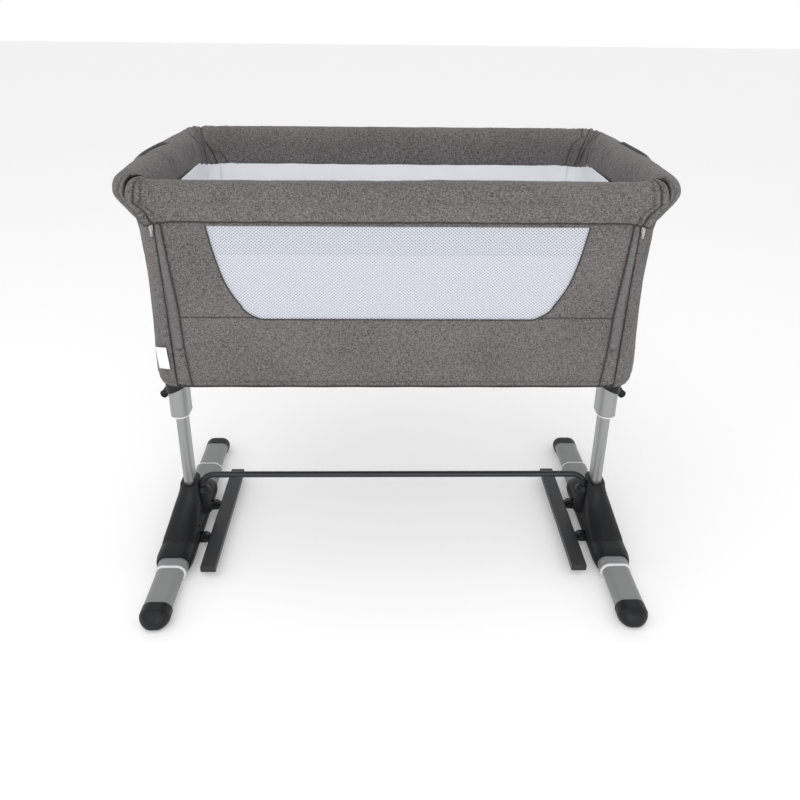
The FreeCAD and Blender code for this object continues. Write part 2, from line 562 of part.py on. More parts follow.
# ---------------------------------------------------------------- fabric walls
outer = Part.makeLoft([rrect_wire(BOT_HX, BOT_HY, BOT_R, BODY_BOTTOM), rrect_wire(TOP_HX, TOP_HY, TOP_R, 790.0)], True, True)
inner = Part.makeLoft([rrect_wire(BOT_HX - WALL, BOT_HY - WALL, BOT_R - WALL, BODY_BOTTOM),
                       rrect_wire(TOP_HX - WALL, TOP_HY - WALL, TOP_R - WALL, 790.0)], True, True)
shell = outer.cut(inner)
low = shell.common(box(-500, 500, -300, 300, 480, BODY_TOP))
fab_r = low.common(box(ZIP_X + 0.6, 500, -300, 300, 480, 800)).fuse(low.common(box(ZIP_X - 20, 500, 0, 300, 480, 800)))
fab_r = biggest(clean(fab_r))
add("fabric_right_end", fab_r)
add("fabric_left_end", mirror_x(fab_r))
add("fabric_back", biggest(low.common(box(-ZIP_X + 20.1, ZIP_X - 20.1, 0, 300, 480, 800))))
panel = shell.common(box(-ZIP_X + 0.6, ZIP_X - 0.6, -300, 0, BODY_BOTTOM + 4.0, 789.5))
for sx in (1, -1):
    panel = panel.cut(box(sx * ARM_X - 9, sx * ARM_X + 9, -300, 0, 480, 503))
pts = [V(x, -300, z) for x, z in WINDOW]
pl = [V(-x, -300, z) for x, z in reversed(WINDOW)]
edge_r = Part.BSplineCurve()
edge_r.interpolate(pts)
edge_l = Part.BSplineCurve()
edge_l.interpolate(pl)
win = Part.Wire([edge_r.toShape(), Part.makeLine(pts[-1], pl[0]), edge_l.toShape(), Part.makeLine(pl[-1], pts[0])])
cutter = Part.Face(win).extrude(V(0, 100, 0))
mesh = panel.common(cutter)
panel = panel.cut(cutter)
add("front_panel", biggest(panel))
# the mesh is a thinner sheet than the cloth round it
mid_o = Part.makeLoft([rrect_wire(BOT_HX - 0.9, BOT_HY - 0.9, BOT_R - 0.9, BODY_BOTTOM), rrect_wire(TOP_HX - 0.9, TOP_HY - 0.9, TOP_R - 0.9, 790.0)], True, True)
mesh = mesh.common(mid_o)
add("mesh_window", biggest(mesh))

# tilt brackets under the end rails, pinned to the collars
def tilt_bracket():
    s = box(399, 424.5, -36, 36, 488.0, FR_Z - 2)
    cheeks = box(406, 424.5, -20.6, 20.6, PIVOT_Z, 488.0).fuse(cyl((PIVOT_X, -20.6, PIVOT_Z), (0, 1, 0), 11.0, 41.2))
    s = s.fuse(cheeks)
    s = s.cut(box(380, LEG_X, -12.3, 12.3, 455, 488.0))
    s = s.cut(cyl((FR_X, -40, FR_Z), (0, 1, 0), TUBE_R + 0.02, 80.0))
    s = s.cut(cyl((PIVOT_X, -25, PIVOT_Z), (0, 1, 0), 5.0, 50.0))
    return biggest(clean(s))


tb = tilt_bracket()
add("tilt_brackets", [tb, mirror_x(tb)])
tp = cyl((PIVOT_X, -22.6, PIVOT_Z), (0, 1, 0), 4.99, 45.2)
tp = tp.fuse(cyl((PIVOT_X, -25.0, PIVOT_Z), (0, 1, 0), 8.0, 4.3)).fuse(cyl((PIVOT_X, 20.7, PIVOT_Z), (0, 1, 0), 7.0, 3.0))
add("tilt_pins", [tp, mirror_x(tp)])

bot = prism(rrect_wire(BOT_HX - WALL - 0.3, 248.0, 58.9, BODY_BOTTOM, 0, 2.3), (0, 0, 2.0))
for sx in (1, -1):
    slot = box(397.5, 426, -37.5, 37.5, 480, 495)
    bot = bot.cut(slot if sx > 0 else mirror_x(slot))
# cloth base stays behind the drop-side hinge line
bot = bot.cut(box(-500, 500, -300, -243.5, 480, 495))
add("fabric_bottom", biggest(bot))

lin = box(398.0, 400.0, -196.0, 200.0, 515.0, 785.0)
add("lining", [lin, mirror_x(lin), box(-380.0, 380.0, 223.0, 225.0, 515.0, 785.0)])

# ---------------------------------------------------------------- drop side
arm_lo, arm_hi = (ARM_X, -246.0, 512.0), (ARM_X, -259.0, 811.4)
arm = tube(arm_lo, arm_hi, 6.5, 1.4)
plugd = rod((ARM_X, -246.0, 512.0), (ARM_X, -246.9, 530.0), 5.0)
tang = box(ARM_X - 2.5, ARM_X + 2.5, HINGE_Y - 2.0, HINGE_Y + 6.5, HINGE_Z, 512.0)
tang = tang.fuse(cyl((ARM_X - 2.5, HINGE_Y, HINGE_Z), (1, 0, 0), 4.3, 5.0))
tang = tang.fuse(Part.makeCylinder(6.5, 2.5, V(ARM_X, -245.9, 509.5), V(0, 0, 1)))
tang = tang.cut(cyl((ARM_X - 8, HINGE_Y, HINGE_Z), (1, 0, 0), 2.05, 16.0))
arm_all = clean(arm.fuse(plugd).fuse(tang))
add("drop_arms", [biggest(arm_all), mirror_x(biggest(arm_all))])
add("drop_rail_tube", tube((-386, RIM_Y * -1, 821.5), (386, RIM_Y * -1, 821.5), TUBE_R))

secf = Part.Face(section_wire((-FRONT_CX, -RIM_Y), (0, 1, 0), RAIL_W, RAIL_Z0, RAIL_H, 28.0))
rail = secf.extrude(V(2 * FRONT_CX, 0, 0))
sece = Part.Face(section_wire((FRONT_CX, -RIM_Y), (0, 1, 0), RAIL_W, RAIL_Z0, RAIL_H, 28.0))
endp = turn(sece, (FRONT_CX, FRONT_CY), 90 - SPLIT_DEG - 1.0)
rail = rail.fuse(endp).fuse(mirror_x(endp))
rail = rail.cut(cyl((-386.2, -RIM_Y, 821.5), (1, 0, 0), TUBE_R + 0.05, 772.4))
for sx in (1, -1):
    rail = rail.cut(rod((sx * ARM_X, -257.8, 785.0), (sx * ARM_X, -259.0, 812.0), 6.6))
add("drop_rail_pad", biggest(clean(rail)))

hb = []
for o in (-6.8, 2.8):
    e = box(ARM_X + o, ARM_X + o + 4.0, HINGE_Y, -234.0, HINGE_Z - 1.3, HINGE_Z + 4.3)
    e = e.fuse(cyl((ARM_X + o, HINGE_Y, HINGE_Z), (1, 0, 0), 4.3, 4.0))
    hb.append(e)
blk = box(ARM_X - 6.8, ARM_X + 6.8, -240.0, -230.0, HINGE_Z - 1.3, HINGE_Z + 4.3)
hbk = hb[0].fuse(hb[1]).fuse(blk)
hbk = hbk.fuse(cyl((ARM_X - 5, HINGE_Y, HINGE_Z), (1, 0, 0), 2.0, 10.0))
hbk = hbk.cut(cyl((300, -FR_Y, FR_Z), (1, 0, 0), TUBE_R + 0.02, 160.0))
hbk = clean(hbk)
add("drop_hinges", [biggest(hbk), mirror_x(biggest(hbk))])


# ---------------------------------------------------------------- zip sliders and side tag
def front_y(z):
    t = (z - BODY_BOTTOM) / (790.0 - BODY_BOTTOM)
    return -(BOT_HY + (TOP_HY - BOT_HY) * t)


def corner_y(x, z):
    """Front face of the end cloth where the corner begins to round back."""
    t = (z - BODY_BOTTOM) / (790.0 - BODY_BOTTOM)
    r = BOT_R + (TOP_R - BOT_R) * t
    cx = BOT_HX + (TOP_HX - BOT_HX) * t - r
    return front_y(z) + (r - math.sqrt(r * r - max(0.0, x - cx) ** 2))


def zip_slider():
    """Zip slider with its pull, on the end cloth's half of the zip just under the rail."""
    z, x = 781.0, ZIP_X + 3.5
    y = corner_y(x, z)
    body = box(x - 3.3, x + 3.3, y - 5.2, y - 2.0, z - 5.0, z + 5.0)
    body = body.makeFillet(1.0, body.Edges)
    pull = box(x - 2.0, x + 2.0, y - 7.0, y - 5.6, z - 13.5, z + 1.5)
    pull = pull.makeFillet(0.6, pull.Edges)
    pull = pull.cut(cyl((x, y - 10, z - 10.8), (0, 1, 0), 1.1, 10))
    bail = box(x - 1.1, x + 1.1, y - 7.6, y - 5.0, z - 1.5, z + 2.6)
    return clean(body.fuse(pull).fuse(bail))


zs = zip_slider()
add("zip_slider_right", zs)
add("zip_slider_left", mirror_x(zs))

zt = 537.0
tt = (zt - BODY_BOTTOM) / (790.0 - BODY_BOTTOM)
chx = BOT_HX + (TOP_HX - BOT_HX) * tt
chy = BOT_HY + (TOP_HY - BOT_HY) * tt
cr = BOT_R + (TOP_R - BOT_R) * tt
ccx, ccy = chx - cr, -(chy - cr)
# the blank label is sewn in beside the zip and stands off the rounded corner
TAG_W, TAG_H = 22.0, 44.0
a = -math.acos((ZIP_X + 9.0 - ccx) / cr)
n = V(math.cos(a), math.sin(a), 0)
t = V(-math.sin(a), math.cos(a), 0)
c0 = V(ccx, ccy, zt) + n * (cr + 1.6)
tag = Part.Face(Part.makePolygon([c0 + V(0, 0, -TAG_H / 2), c0 + t * TAG_W + V(0, 0, -TAG_H / 2 - 1.5),
                                  c0 + t * TAG_W + V(0, 0, TAG_H / 2 - 1.5), c0 + V(0, 0, TAG_H / 2),
                                  c0 + V(0, 0, -TAG_H / 2)])).extrude(n * 0.8)
add("side_tag", mirror_x(tag))

# ---------------------------------------------------------------- export
for name in sorted(NODES):
    s = NODES[name]
    bad = not s.isValid()
    s.exportStep("parts/%s.step" % name)
    bb = s.BoundBox
    print("%-24s solids %d vol %.1f cm3 %s x[%.1f %.1f] y[%.1f %.1f] z[%.1f %.1f]" % (
        name, len(s.Solids), s.Volume / 1000.0, "INVALID" if bad else "", bb.XMin, bb.XMax, bb.YMin, bb.YMax, bb.ZMin, bb.ZMax))
print(len(NODES), "nodes")
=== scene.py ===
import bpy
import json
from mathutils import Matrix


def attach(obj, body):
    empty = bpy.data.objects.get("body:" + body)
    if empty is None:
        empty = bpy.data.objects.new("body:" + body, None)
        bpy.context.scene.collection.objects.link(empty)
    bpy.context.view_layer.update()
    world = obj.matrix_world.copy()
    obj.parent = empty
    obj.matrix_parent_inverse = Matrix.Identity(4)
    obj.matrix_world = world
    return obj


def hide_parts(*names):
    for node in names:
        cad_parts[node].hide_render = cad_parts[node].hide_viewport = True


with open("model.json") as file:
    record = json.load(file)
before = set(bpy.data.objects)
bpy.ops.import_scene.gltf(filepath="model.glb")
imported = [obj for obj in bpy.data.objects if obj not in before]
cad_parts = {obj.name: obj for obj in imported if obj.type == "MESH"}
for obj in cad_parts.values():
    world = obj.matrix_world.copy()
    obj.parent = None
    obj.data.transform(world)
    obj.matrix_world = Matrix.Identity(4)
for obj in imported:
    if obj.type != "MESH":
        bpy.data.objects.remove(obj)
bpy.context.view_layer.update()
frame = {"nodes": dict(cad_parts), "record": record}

import json
import math

import bpy
import numpy as np

NODES = frame["nodes"]
MM = 0.001
C45 = math.cos(math.radians(45))


# ------------------------------------------------------------------ small maths
def perlin(u, v, seed=0):
    """Smooth 2-D noise, about -0.7 to 0.7, the same on every run."""
    u, v = np.broadcast_arrays(np.asarray(u, float), np.asarray(v, float))
    xi, yi = np.floor(u).astype(np.int64), np.floor(v).astype(np.int64)
    xf, yf = u - xi, v - yi

    def grad(ix, iy, dx, dy):
        h = (ix * 374761393 + iy * 668265263 + seed * 974634777) & 0x7FFFFFFF
        h = ((h ^ (h >> 13)) * 1274126177) & 0x7FFFFFFF
        h = h ^ (h >> 16)
        a = (h % 4096) / 4096.0 * 2 * np.pi
        return np.cos(a) * dx + np.sin(a) * dy

    fx, fy = xf * xf * xf * (xf * (xf * 6 - 15) + 10), yf * yf * yf * (yf * (yf * 6 - 15) + 10)
    a = grad(xi, yi, xf, yf) * (1 - fx) + grad(xi + 1, yi, xf - 1, yf) * fx
    b = grad(xi, yi + 1, xf, yf - 1) * (1 - fx) + grad(xi + 1, yi + 1, xf - 1, yf - 1) * fx
    return a * (1 - fy) + b * fy


def bump(d, w):
    return np.exp(-(np.asarray(d) / w) ** 2)


def step(x, a, b):
    t = np.clip((np.asarray(x, float) - a) / (b - a), 0, 1)
    return t * t * (3 - 2 * t)


def sgnpow(t, e):
    return np.sign(t) * np.abs(t) ** e


# ------------------------------------------------------------------ mesh making, in millimetres
def obj_from(name, verts, faces, uv=None, shade=None, mat=None, smooth=True):
    me = bpy.data.meshes.new(name)
    me.from_pydata([tuple(float(c) * MM for c in p) for p in verts], [], faces)
    me.validate()
    if smooth:
        me.polygons.foreach_set("use_smooth", [True] * len(me.polygons))
    if uv is not None:
        lay = me.uv_layers.new(name="UVMap")
        idx = np.zeros(len(me.loops), dtype=np.int64)
        me.loops.foreach_get("vertex_index", idx)
        uva = np.asarray(uv, float)[idx] * MM
        lay.data.foreach_set("uv", uva.ravel())
    if shade is not None:
        at = me.attributes.new("shade", "FLOAT", "POINT")
        at.data.foreach_set("value", np.asarray(shade, float).ravel())
    me.update()
    ob = bpy.data.objects.new(name, me)
    bpy.context.scene.collection.objects.link(ob)
    if mat:
        me.materials.append(mat)
    return ob


def grid(name, P, UV=None, shade=None, mat=None, close_i=False, close_j=False, caps=False, flip=False):
    """P is rows x columns x 3."""
    m, n = P.shape[:2]
    V = P.reshape(-1, 3)
    faces = []
    for i in range(m if close_i else m - 1):
        i2 = (i + 1) % m
        for j in range(n if close_j else n - 1):
            j2 = (j + 1) % n
            f = (i * n + j, i2 * n + j, i2 * n + j2, i * n + j2)
            faces.append(f[::-1] if flip else f)
    V = list(map(tuple, V))
    uv = None if UV is None else list(map(tuple, UV.reshape(-1, 2)))
    sh = None if shade is None else list(np.asarray(shade).ravel())
    if caps:
        for i in (0, m - 1):
            c = P[i].mean(axis=0)
            V.append(tuple(c))
            if uv is not None:
                uv.append(tuple(UV[i].mean(axis=0)))
            if sh is not None:
                sh.append(float(np.asarray(shade)[i].mean()))
            k = len(V) - 1
            for j in range(n):
                j2 = (j + 1) % n
                f = (i * n + j, i * n + j2, k)
                if (i == 0) == flip:
                    f = f[::-1]
                faces.append(f)
    return obj_from(name, V, faces, uv, sh, mat)


def outward(ob):
    """Makes the faces of a closed mesh point outward."""
    import bmesh
    bm = bmesh.new()
    bm.from_mesh(ob.data)
    bmesh.ops.recalc_face_normals(bm, faces=bm.faces)
    bm.to_mesh(ob.data)
    bm.free()
    return ob


def thick(ob, t, offset=-1.0, merge=True):
    """Gives a sheet its thickness and makes that part of the mesh."""
    bpy.context.view_layer.objects.active = ob
    if merge:
        import bmesh
        bm = bmesh.new()
        bm.from_mesh(ob.data)
        bmesh.ops.remove_doubles(bm, verts=bm.verts, dist=0.00005)
        bmesh.ops.recalc_face_normals(bm, faces=bm.faces)
        bm.to_mesh(ob.data)
        bm.free()
    md = ob.modifiers.new("thick", "SOLIDIFY")
    md.thickness = t * MM
    md.offset = offset
    md.use_even_offset = True
    dg = bpy.context.evaluated_depsgraph_get()
    me = bpy.data.meshes.new_from_object(ob.evaluated_get(dg))
    ob.modifiers.clear()
    old = ob.data
    ob.data = me
    bpy.data.meshes.remove(old)
    return ob


def tube(name, path, r, mat=None, sides=8, closed=False, squash_z=1.0):
    """A cord of radius r along points in millimetres."""
    path = np.asarray(path, float)
    m = len(path)
    if closed:
        t = np.roll(path, -1, 0) - np.roll(path, 1, 0)
    else:
        t = np.gradient(path, axis=0)
    t /= np.linalg.norm(t, axis=1)[:, None]
    ref = np.array([0.0, 0.0, 1.0])
    if abs(t[0] @ ref) > 0.9:
        ref = np.array([0.0, 1.0, 0.0])
    n = np.cross(t[0], ref)
    n /= np.linalg.norm(n)
    ns = [n]
    for i in range(1, m):
        n = ns[-1] - t[i] * (ns[-1] @ t[i])
        n /= np.linalg.norm(n)
        ns.append(n)
    ns = np.array(ns)
    bs = np.cross(t, ns)
    rr = np.broadcast_to(np.asarray(r, float), (m,))
    a = np.linspace(0, 2 * np.pi, sides, endpoint=False)
    P = path[:, None, :] + rr[:, None, None] * (np.cos(a)[None, :, None] * ns[:, None, :] + squash_z * np.sin(a)[None, :, None] * bs[:, None, :])
    L = np.concatenate([[0], np.cumsum(np.linalg.norm(np.diff(path, axis=0), axis=1))])
    UV = np.stack(np.broadcast_arrays(L[:, None], (a * rr.mean())[None, :]), -1)
    return outward(grid(name, P, UV, None, mat, close_i=closed, close_j=True, caps=not closed))


def strip(name, path, side, width, mat=None, lift=0.0, n=3):
    """A flat ribbon along points, width across the side direction."""
    path, side = np.asarray(path, float), np.asarray(side, float)
    side = side / np.linalg.norm(side, axis=-1, keepdims=True)
    w = np.linspace(-0.5, 0.5, n)
    P = path[:, None, :] + w[None, :, None] * width * side[:, None, :]
    L = np.concatenate([[0], np.cumsum(np.linalg.norm(np.diff(path, axis=0), axis=1))])
    UV = np.stack(np.broadcast_arrays(L[:, None], (w * width)[None, :]), -1)
    return grid(name, P, UV, None, mat)


# ------------------------------------------------------------------ materials
def nodes_of(name):
    m = bpy.data.materials.new(name)
    m.use_nodes = True
    nt = m.node_tree
    nt.nodes.clear()
    out = nt.nodes.new("ShaderNodeOutputMaterial")
    bs = nt.nodes.new("ShaderNodeBsdfPrincipled")
    nt.links.new(bs.outputs[0], out.inputs[0])
    return m, nt, bs


def node(nt, kind, **kw):
    n = nt.nodes.new(kind)
    for k, v in kw.items():
        setattr(n, k, v)
    return n


def noise(nt, vec, scale3, detail=2.0, rough=0.5, w=None):
    mp = node(nt, "ShaderNodeMapping")
    mp.inputs["Scale"].default_value = scale3
    if w:
        mp.inputs["Location"].default_value = w
    nt.links.new(vec, mp.inputs["Vector"])
    nz = node(nt, "ShaderNodeTexNoise")
    nz.inputs["Scale"].default_value = 1.0
    nz.inputs["Detail"].default_value = detail
    nz.inputs["Roughness"].default_value = rough
    nt.links.new(mp.outputs[0], nz.inputs["Vector"])
    return nz.outputs[0]


def math_node(nt, op, a, b=None, clamp=False):
    m = node(nt, "ShaderNodeMath", operation=op, use_clamp=clamp)
    for i, x in enumerate((a, b)):
        if x is None:
            continue
        if isinstance(x, (int, float)):
            m.inputs[i].default_value = x
        else:
            nt.links.new(x, m.inputs[i])
    return m.outputs[0]


def mix_rgb(nt, fac, a, b):
    m = node(nt, "ShaderNodeMix", data_type="RGBA")
    ins = [i for i in m.inputs if i.enabled]
    for i, x in zip(ins, (fac, a, b)):
        if isinstance(x, (int, float)):
            i.default_value = x
        elif isinstance(x, tuple):
            i.default_value = (*x, 1.0)
        else:
            nt.links.new(x, i)
    return [o for o in m.outputs if o.enabled][0]


def heather(name, dark, light, coord="UV", contrast=1.0, shade_to=(0.018, 0.016, 0.015), weave=1.0):
    """Linen-look cloth of light and dark yarns, with slubs both ways."""
    m, nt, bs = nodes_of(name)
    tc = node(nt, "ShaderNodeTexCoord")
    vec = tc.outputs[coord]
    a = noise(nt, vec, (860, 240, 240), 2.0, 0.65)
    b = noise(nt, vec, (215, 900, 900), 2.0, 0.65, (3.1, 7.7, 1.0))
    c = noise(nt, vec, (420, 90, 90), 1.0, 0.5, (11.0, 5.0, 2.0))
    d = noise(nt, vec, (80, 460, 460), 1.0, 0.5, (1.0, 15.0, 8.0))
    e = noise(nt, vec, (9, 9, 9), 2.0, 0.5, (21.0, 5.0, 3.0))
    s = math_node(nt, "ADD", a, b)
    s = math_node(nt, "ADD", s, math_node(nt, "MULTIPLY", math_node(nt, "ADD", c, d), 0.40))
    s = math_node(nt, "SUBTRACT", s, 1.40)
    s = math_node(nt, "MULTIPLY", s, 1.5 * contrast)
    s = math_node(nt, "ADD", s, 0.5)
    s = math_node(nt, "ADD", s, math_node(nt, "MULTIPLY", math_node(nt, "SUBTRACT", e, 0.5), 0.35), True)
    col = mix_rgb(nt, s, dark, light)
    # painted shade: each mesh's shade attribute darkens the cloth towards shade_to in creases, zip partings, seam
    # grooves and under the rail
    at = node(nt, "ShaderNodeAttribute", attribute_name="shade")
    col = mix_rgb(nt, math_node(nt, "MULTIPLY", at.outputs["Fac"], 1.0, True), col, shade_to)
    nt.links.new(col, bs.inputs["Base Color"])
    bs.inputs["Roughness"].default_value = 0.92
    bs.inputs["Specular IOR Level"].default_value = 0.18
    bs.inputs["Sheen Weight"].default_value = 0.12
    bs.inputs["Sheen Roughness"].default_value = 0.5
    # crossing yarns
    wx = node(nt, "ShaderNodeTexWave", wave_type="BANDS", bands_direction="X", wave_profile="SIN")
    wy = node(nt, "ShaderNodeTexWave", wave_type="BANDS", bands_direction="Y", wave_profile="SIN")
    for w_ in (wx, wy):
        w_.inputs["Scale"].default_value = 260.0
        w_.inputs["Distortion"].default_value = 1.2
        w_.inputs["Detail"].default_value = 1.0
        nt.links.new(vec, w_.inputs["Vector"])
    h = math_node(nt, "MULTIPLY", wx.outputs[1], wy.outputs[1])
    h = math_node(nt, "ADD", h, math_node(nt, "MULTIPLY", s, 0.7))
    bp = node(nt, "ShaderNodeBump")
    bp.inputs["Strength"].default_value = 0.55 * weave
    bp.inputs["Distance"].default_value = 0.0004
    nt.links.new(h, bp.inputs["Height"])
    nt.links.new(bp.outputs[0], bs.inputs["Normal"])
    return m


def plain_cloth(name, color, coord="UV", rough=0.9, bumpd=0.0003, tint=None):
    m, nt, bs = nodes_of(name)
    tc = node(nt, "ShaderNodeTexCoord")
    vec = tc.outputs[coord]
    a = noise(nt, vec, (500, 500, 500), 2.0, 0.6)
    b = noise(nt, vec, (14, 14, 14), 2.0, 0.5)
    s = math_node(nt, "ADD", math_node(nt, "MULTIPLY", a, 0.5), math_node(nt, "MULTIPLY", b, 0.5))
    dark = tuple(c * 0.86 for c in color)
    col = mix_rgb(nt, s, dark, color)
    # painted shade: the shade attribute darkens the cloth towards a third of its colour in seam grooves
    at = node(nt, "ShaderNodeAttribute", attribute_name="shade")
    col = mix_rgb(nt, math_node(nt, "MULTIPLY", at.outputs["Fac"], 1.0, True), col, tuple(c * 0.35 for c in color))
    nt.links.new(col, bs.inputs["Base Color"])
    bs.inputs["Roughness"].default_value = rough
    bs.inputs["Specular IOR Level"].default_value = 0.2
    bs.inputs["Sheen Weight"].default_value = 0.1
    wx = node(nt, "ShaderNodeTexWave", wave_type="BANDS", bands_direction="X", wave_profile="SIN")
    wy = node(nt, "ShaderNodeTexWave", wave_type="BANDS", bands_direction="Y", wave_profile="SIN")
    for w_ in (wx, wy):
        w_.inputs["Scale"].default_value = 420.0
        nt.links.new(vec, w_.inputs["Vector"])
    bp = node(nt, "ShaderNodeBump")
    bp.inputs["Strength"].default_value = 0.4
    bp.inputs["Distance"].default_value = bumpd
    nt.links.new(math_node(nt, "MULTIPLY", wx.outputs[1], wy.outputs[1]), bp.inputs["Height"])
    nt.links.new(bp.outputs[0], bs.inputs["Normal"])
    return m


def moulded(name, color, rough, bumps=0.00006, spec=0.5):
    m, nt, bs = nodes_of(name)
    tc = node(nt, "ShaderNodeTexCoord")
    bs.inputs["Base Color"].default_value = (*color, 1)
    bs.inputs["Roughness"].default_value = rough
    bs.inputs["Specular IOR Level"].default_value = spec
    n1 = noise(nt, tc.outputs["Object"], (900, 900, 900), 2.0, 0.6)
    n2 = noise(nt, tc.outputs["Object"], (30, 30, 30), 2.0, 0.5)
    r = math_node(nt, "ADD", math_node(nt, "MULTIPLY", n2, 0.12), rough - 0.06)
    nt.links.new(r, bs.inputs["Roughness"])
    bp = node(nt, "ShaderNodeBump")
    bp.inputs["Strength"].default_value = 0.5
    bp.inputs["Distance"].default_value = bumps
    nt.links.new(n1, bp.inputs["Height"])
    nt.links.new(bp.outputs[0], bs.inputs["Normal"])
    return m


def metal(name, color, rough, axis=2, metallic=1.0, grain=0.06):
    """Drawn metal with a fine grain along one axis."""
    m, nt, bs = nodes_of(name)
    tc = node(nt, "ShaderNodeTexCoord")
    sc = [420, 420, 420]
    sc[axis] = 6
    n1 = noise(nt, tc.outputs["Object"], tuple(sc), 2.0, 0.6)
    col = mix_rgb(nt, n1, tuple(c * 0.93 for c in color), tuple(min(1, c * 1.05) for c in color))
    nt.links.new(col, bs.inputs["Base Color"])
    r = math_node(nt, "ADD", math_node(nt, "MULTIPLY", n1, grain), rough - grain / 2)
    nt.links.new(r, bs.inputs["Roughness"])
    bs.inputs["Metallic"].default_value = metallic
    return m


M_HEATHER = heather("heather", (0.046, 0.0425, 0.0425), (0.222, 0.205, 0.206), contrast=1.35)
M_FLAP = heather("flap_cloth", (0.075, 0.072, 0.074), (0.215, 0.206, 0.210), contrast=0.9)
# piping cloth: the heather darkened, partly for its darker thread and partly as painted shade along the raised cords,
# window binding and hem
M_PIPING_DARK_SHADED = heather("piping_cloth_dark_painted_shade", (0.022, 0.019, 0.018), (0.075, 0.068, 0.065))
M_LINING = plain_cloth("lining_white", (0.92, 0.945, 0.985))
M_MATTRESS = plain_cloth("mattress_white", (0.80, 0.80, 0.80), coord="Object")
M_TAG = plain_cloth("tag_white", (0.86, 0.87, 0.89))
M_ZIP = moulded("zip_black", (0.008, 0.008, 0.009), 0.6)
M_BLACK = moulded("black_moulded", (0.0095, 0.010, 0.0115), 0.44, spec=0.26)
M_WHITE = moulded("white_moulded", (0.80, 0.81, 0.82), 0.4)
M_BAR = moulded("bar_black", (0.020, 0.021, 0.024), 0.42, spec=0.4)
M_SCREW = metal("screw_black", (0.05, 0.05, 0.052), 0.4, axis=0)
M_FOOT = moulded("foot_grey", (0.228, 0.231, 0.233), 0.45)
M_CROSS = moulded("crossbar_paint", (0.022, 0.023, 0.026), 0.34, spec=0.42)
M_FRAME = moulded("frame_paint", (0.04, 0.04, 0.042), 0.45)
M_ALU = metal("leg_aluminium", (0.345, 0.35, 0.35), 0.34, metallic=0.92)
M_STEEL = metal("steel_bright", (0.62, 0.62, 0.63), 0.3, axis=0)
M_SILVER = metal("zip_silver", (0.47, 0.455, 0.43), 0.30)


def board_material():
    m, nt, bs = nodes_of("base_hardboard")
    tc = node(nt, "ShaderNodeTexCoord")
    n1 = noise(nt, tc.outputs["Object"], (300, 300, 300), 3.0, 0.6)
    nt.links.new(mix_rgb(nt, n1, (0.26, 0.17, 0.10), (0.46, 0.32, 0.2)), bs.inputs["Base Color"])
    bs.inputs["Roughness"].default_value = 0.7
    return m


def mesh_material():
    """White spacer mesh: rows of small dark holes in a diamond pattern."""
    m, nt, bs = nodes_of("white_mesh")
    tc = node(nt, "ShaderNodeTexCoord")
    sep = node(nt, "ShaderNodeSeparateXYZ")
    nt.links.new(tc.outputs["UV"], sep.inputs[0])
    # two crossing sine rows, offset by half a pitch: holes at the crests
    p = 0.0060
    kx, ky = 2 * math.pi / p, 2 * math.pi / (p * 0.86)
    sx = math_node(nt, "COSINE", math_node(nt, "MULTIPLY", sep.outputs[0], kx))
    sy = math_node(nt, "COSINE", math_node(nt, "MULTIPLY", sep.outputs[1], ky))
    f = math_node(nt, "MULTIPLY", sx, sy)
    hole = math_node(nt, "MULTIPLY", math_node(nt, "SUBTRACT", f, 0.10), 2.6, True)
    # painted shade: the shade attribute darkens both the mesh and its holes in a band under the rail and along the
    # window's edges
    at = node(nt, "ShaderNodeAttribute", attribute_name="shade")
    body = mix_rgb(nt, math_node(nt, "MULTIPLY", at.outputs["Fac"], 1.0, True), (0.585, 0.60, 0.65), (0.555, 0.58, 0.635))
    dark = mix_rgb(nt, math_node(nt, "MULTIPLY", at.outputs["Fac"], 1.0, True), (0.335, 0.35, 0.40), (0.205, 0.22, 0.265))
    col = mix_rgb(nt, hole, body, dark)
    nt.links.new(col, bs.inputs["Base Color"])
    bs.inputs["Roughness"].default_value = 0.85
    bs.inputs["Specular IOR Level"].default_value = 0.2
    bp = node(nt, "ShaderNodeBump", invert=True)
    bp.inputs["Strength"].default_value = 0.5
    bp.inputs["Distance"].default_value = 0.0008
    nt.links.new(hole, bp.inputs["Height"])
    nt.links.new(bp.outputs[0], bs.inputs["Normal"])
    return m


M_MESH = mesh_material()
M_BOARD = board_material()

SLOT_MATS = {"foot_grey": M_FOOT, "black_moulded": M_BLACK, "white_moulded": M_WHITE, "steel_bright": M_STEEL, "screw_black": M_SCREW,
             "leg_aluminium": M_ALU, "crossbar_paint": M_CROSS, "bar_black": M_BAR, "frame_paint": M_FRAME,
             "base_hardboard": M_BOARD, "mattress_cloth": M_MATTRESS, "heather_cloth": M_HEATHER, "white_mesh": M_MESH,
             "lining_cloth": M_LINING, "tag_white": M_TAG, "zip_silver": M_SILVER}
for sp in frame["record"]["subparts"]:
    o = NODES[sp["node"]]
    o.data.materials.clear()
    o.data.materials.append(SLOT_MATS[sp["material_slot"]])


# ------------------------------------------------------------------ shared sizes, as in the CAD
BOT = (433.0, 254.0, 62.0)
TOP = (431.0, 279.0, 66.0)
Z_LO, Z_HI = 487.0, 790.0
FC, FCR = (383.0, -210.0), 47.0
BC, BCR = (394.0, 221.0), 36.0


def outer(z):
    t = (np.asarray(z, float) - Z_LO) / (Z_HI - Z_LO)
    return tuple(a + (b - a) * t for a, b in zip(BOT, TOP))


def front_surface(x, z):
    """Y of the basket's front face, which begins to round back near the ends."""
    hx, hy, r = outer(z)
    ax = np.abs(x)
    over = np.clip(ax - (hx - r), 0, r)
    return -hy + r - np.sqrt(np.maximum(r * r - over * over, 0))


# where the zip parts the rail's end from the corner padding: angle from straight ahead, by height
def split_angle(phi):
    """phi in degrees round the section: 0 outward, 90 up, 180 inward, 270 down."""
    p = np.mod(np.asarray(phi, float), 360)
    return np.interp(p, [0, 60, 90, 135, 180, 225, 255, 270, 290, 312, 330, 345, 360],
                     [36.5, 38.5, 38.5, 36, 30, 20, 13.5, 12, 13.5, 18.5, 24, 31, 36.5])


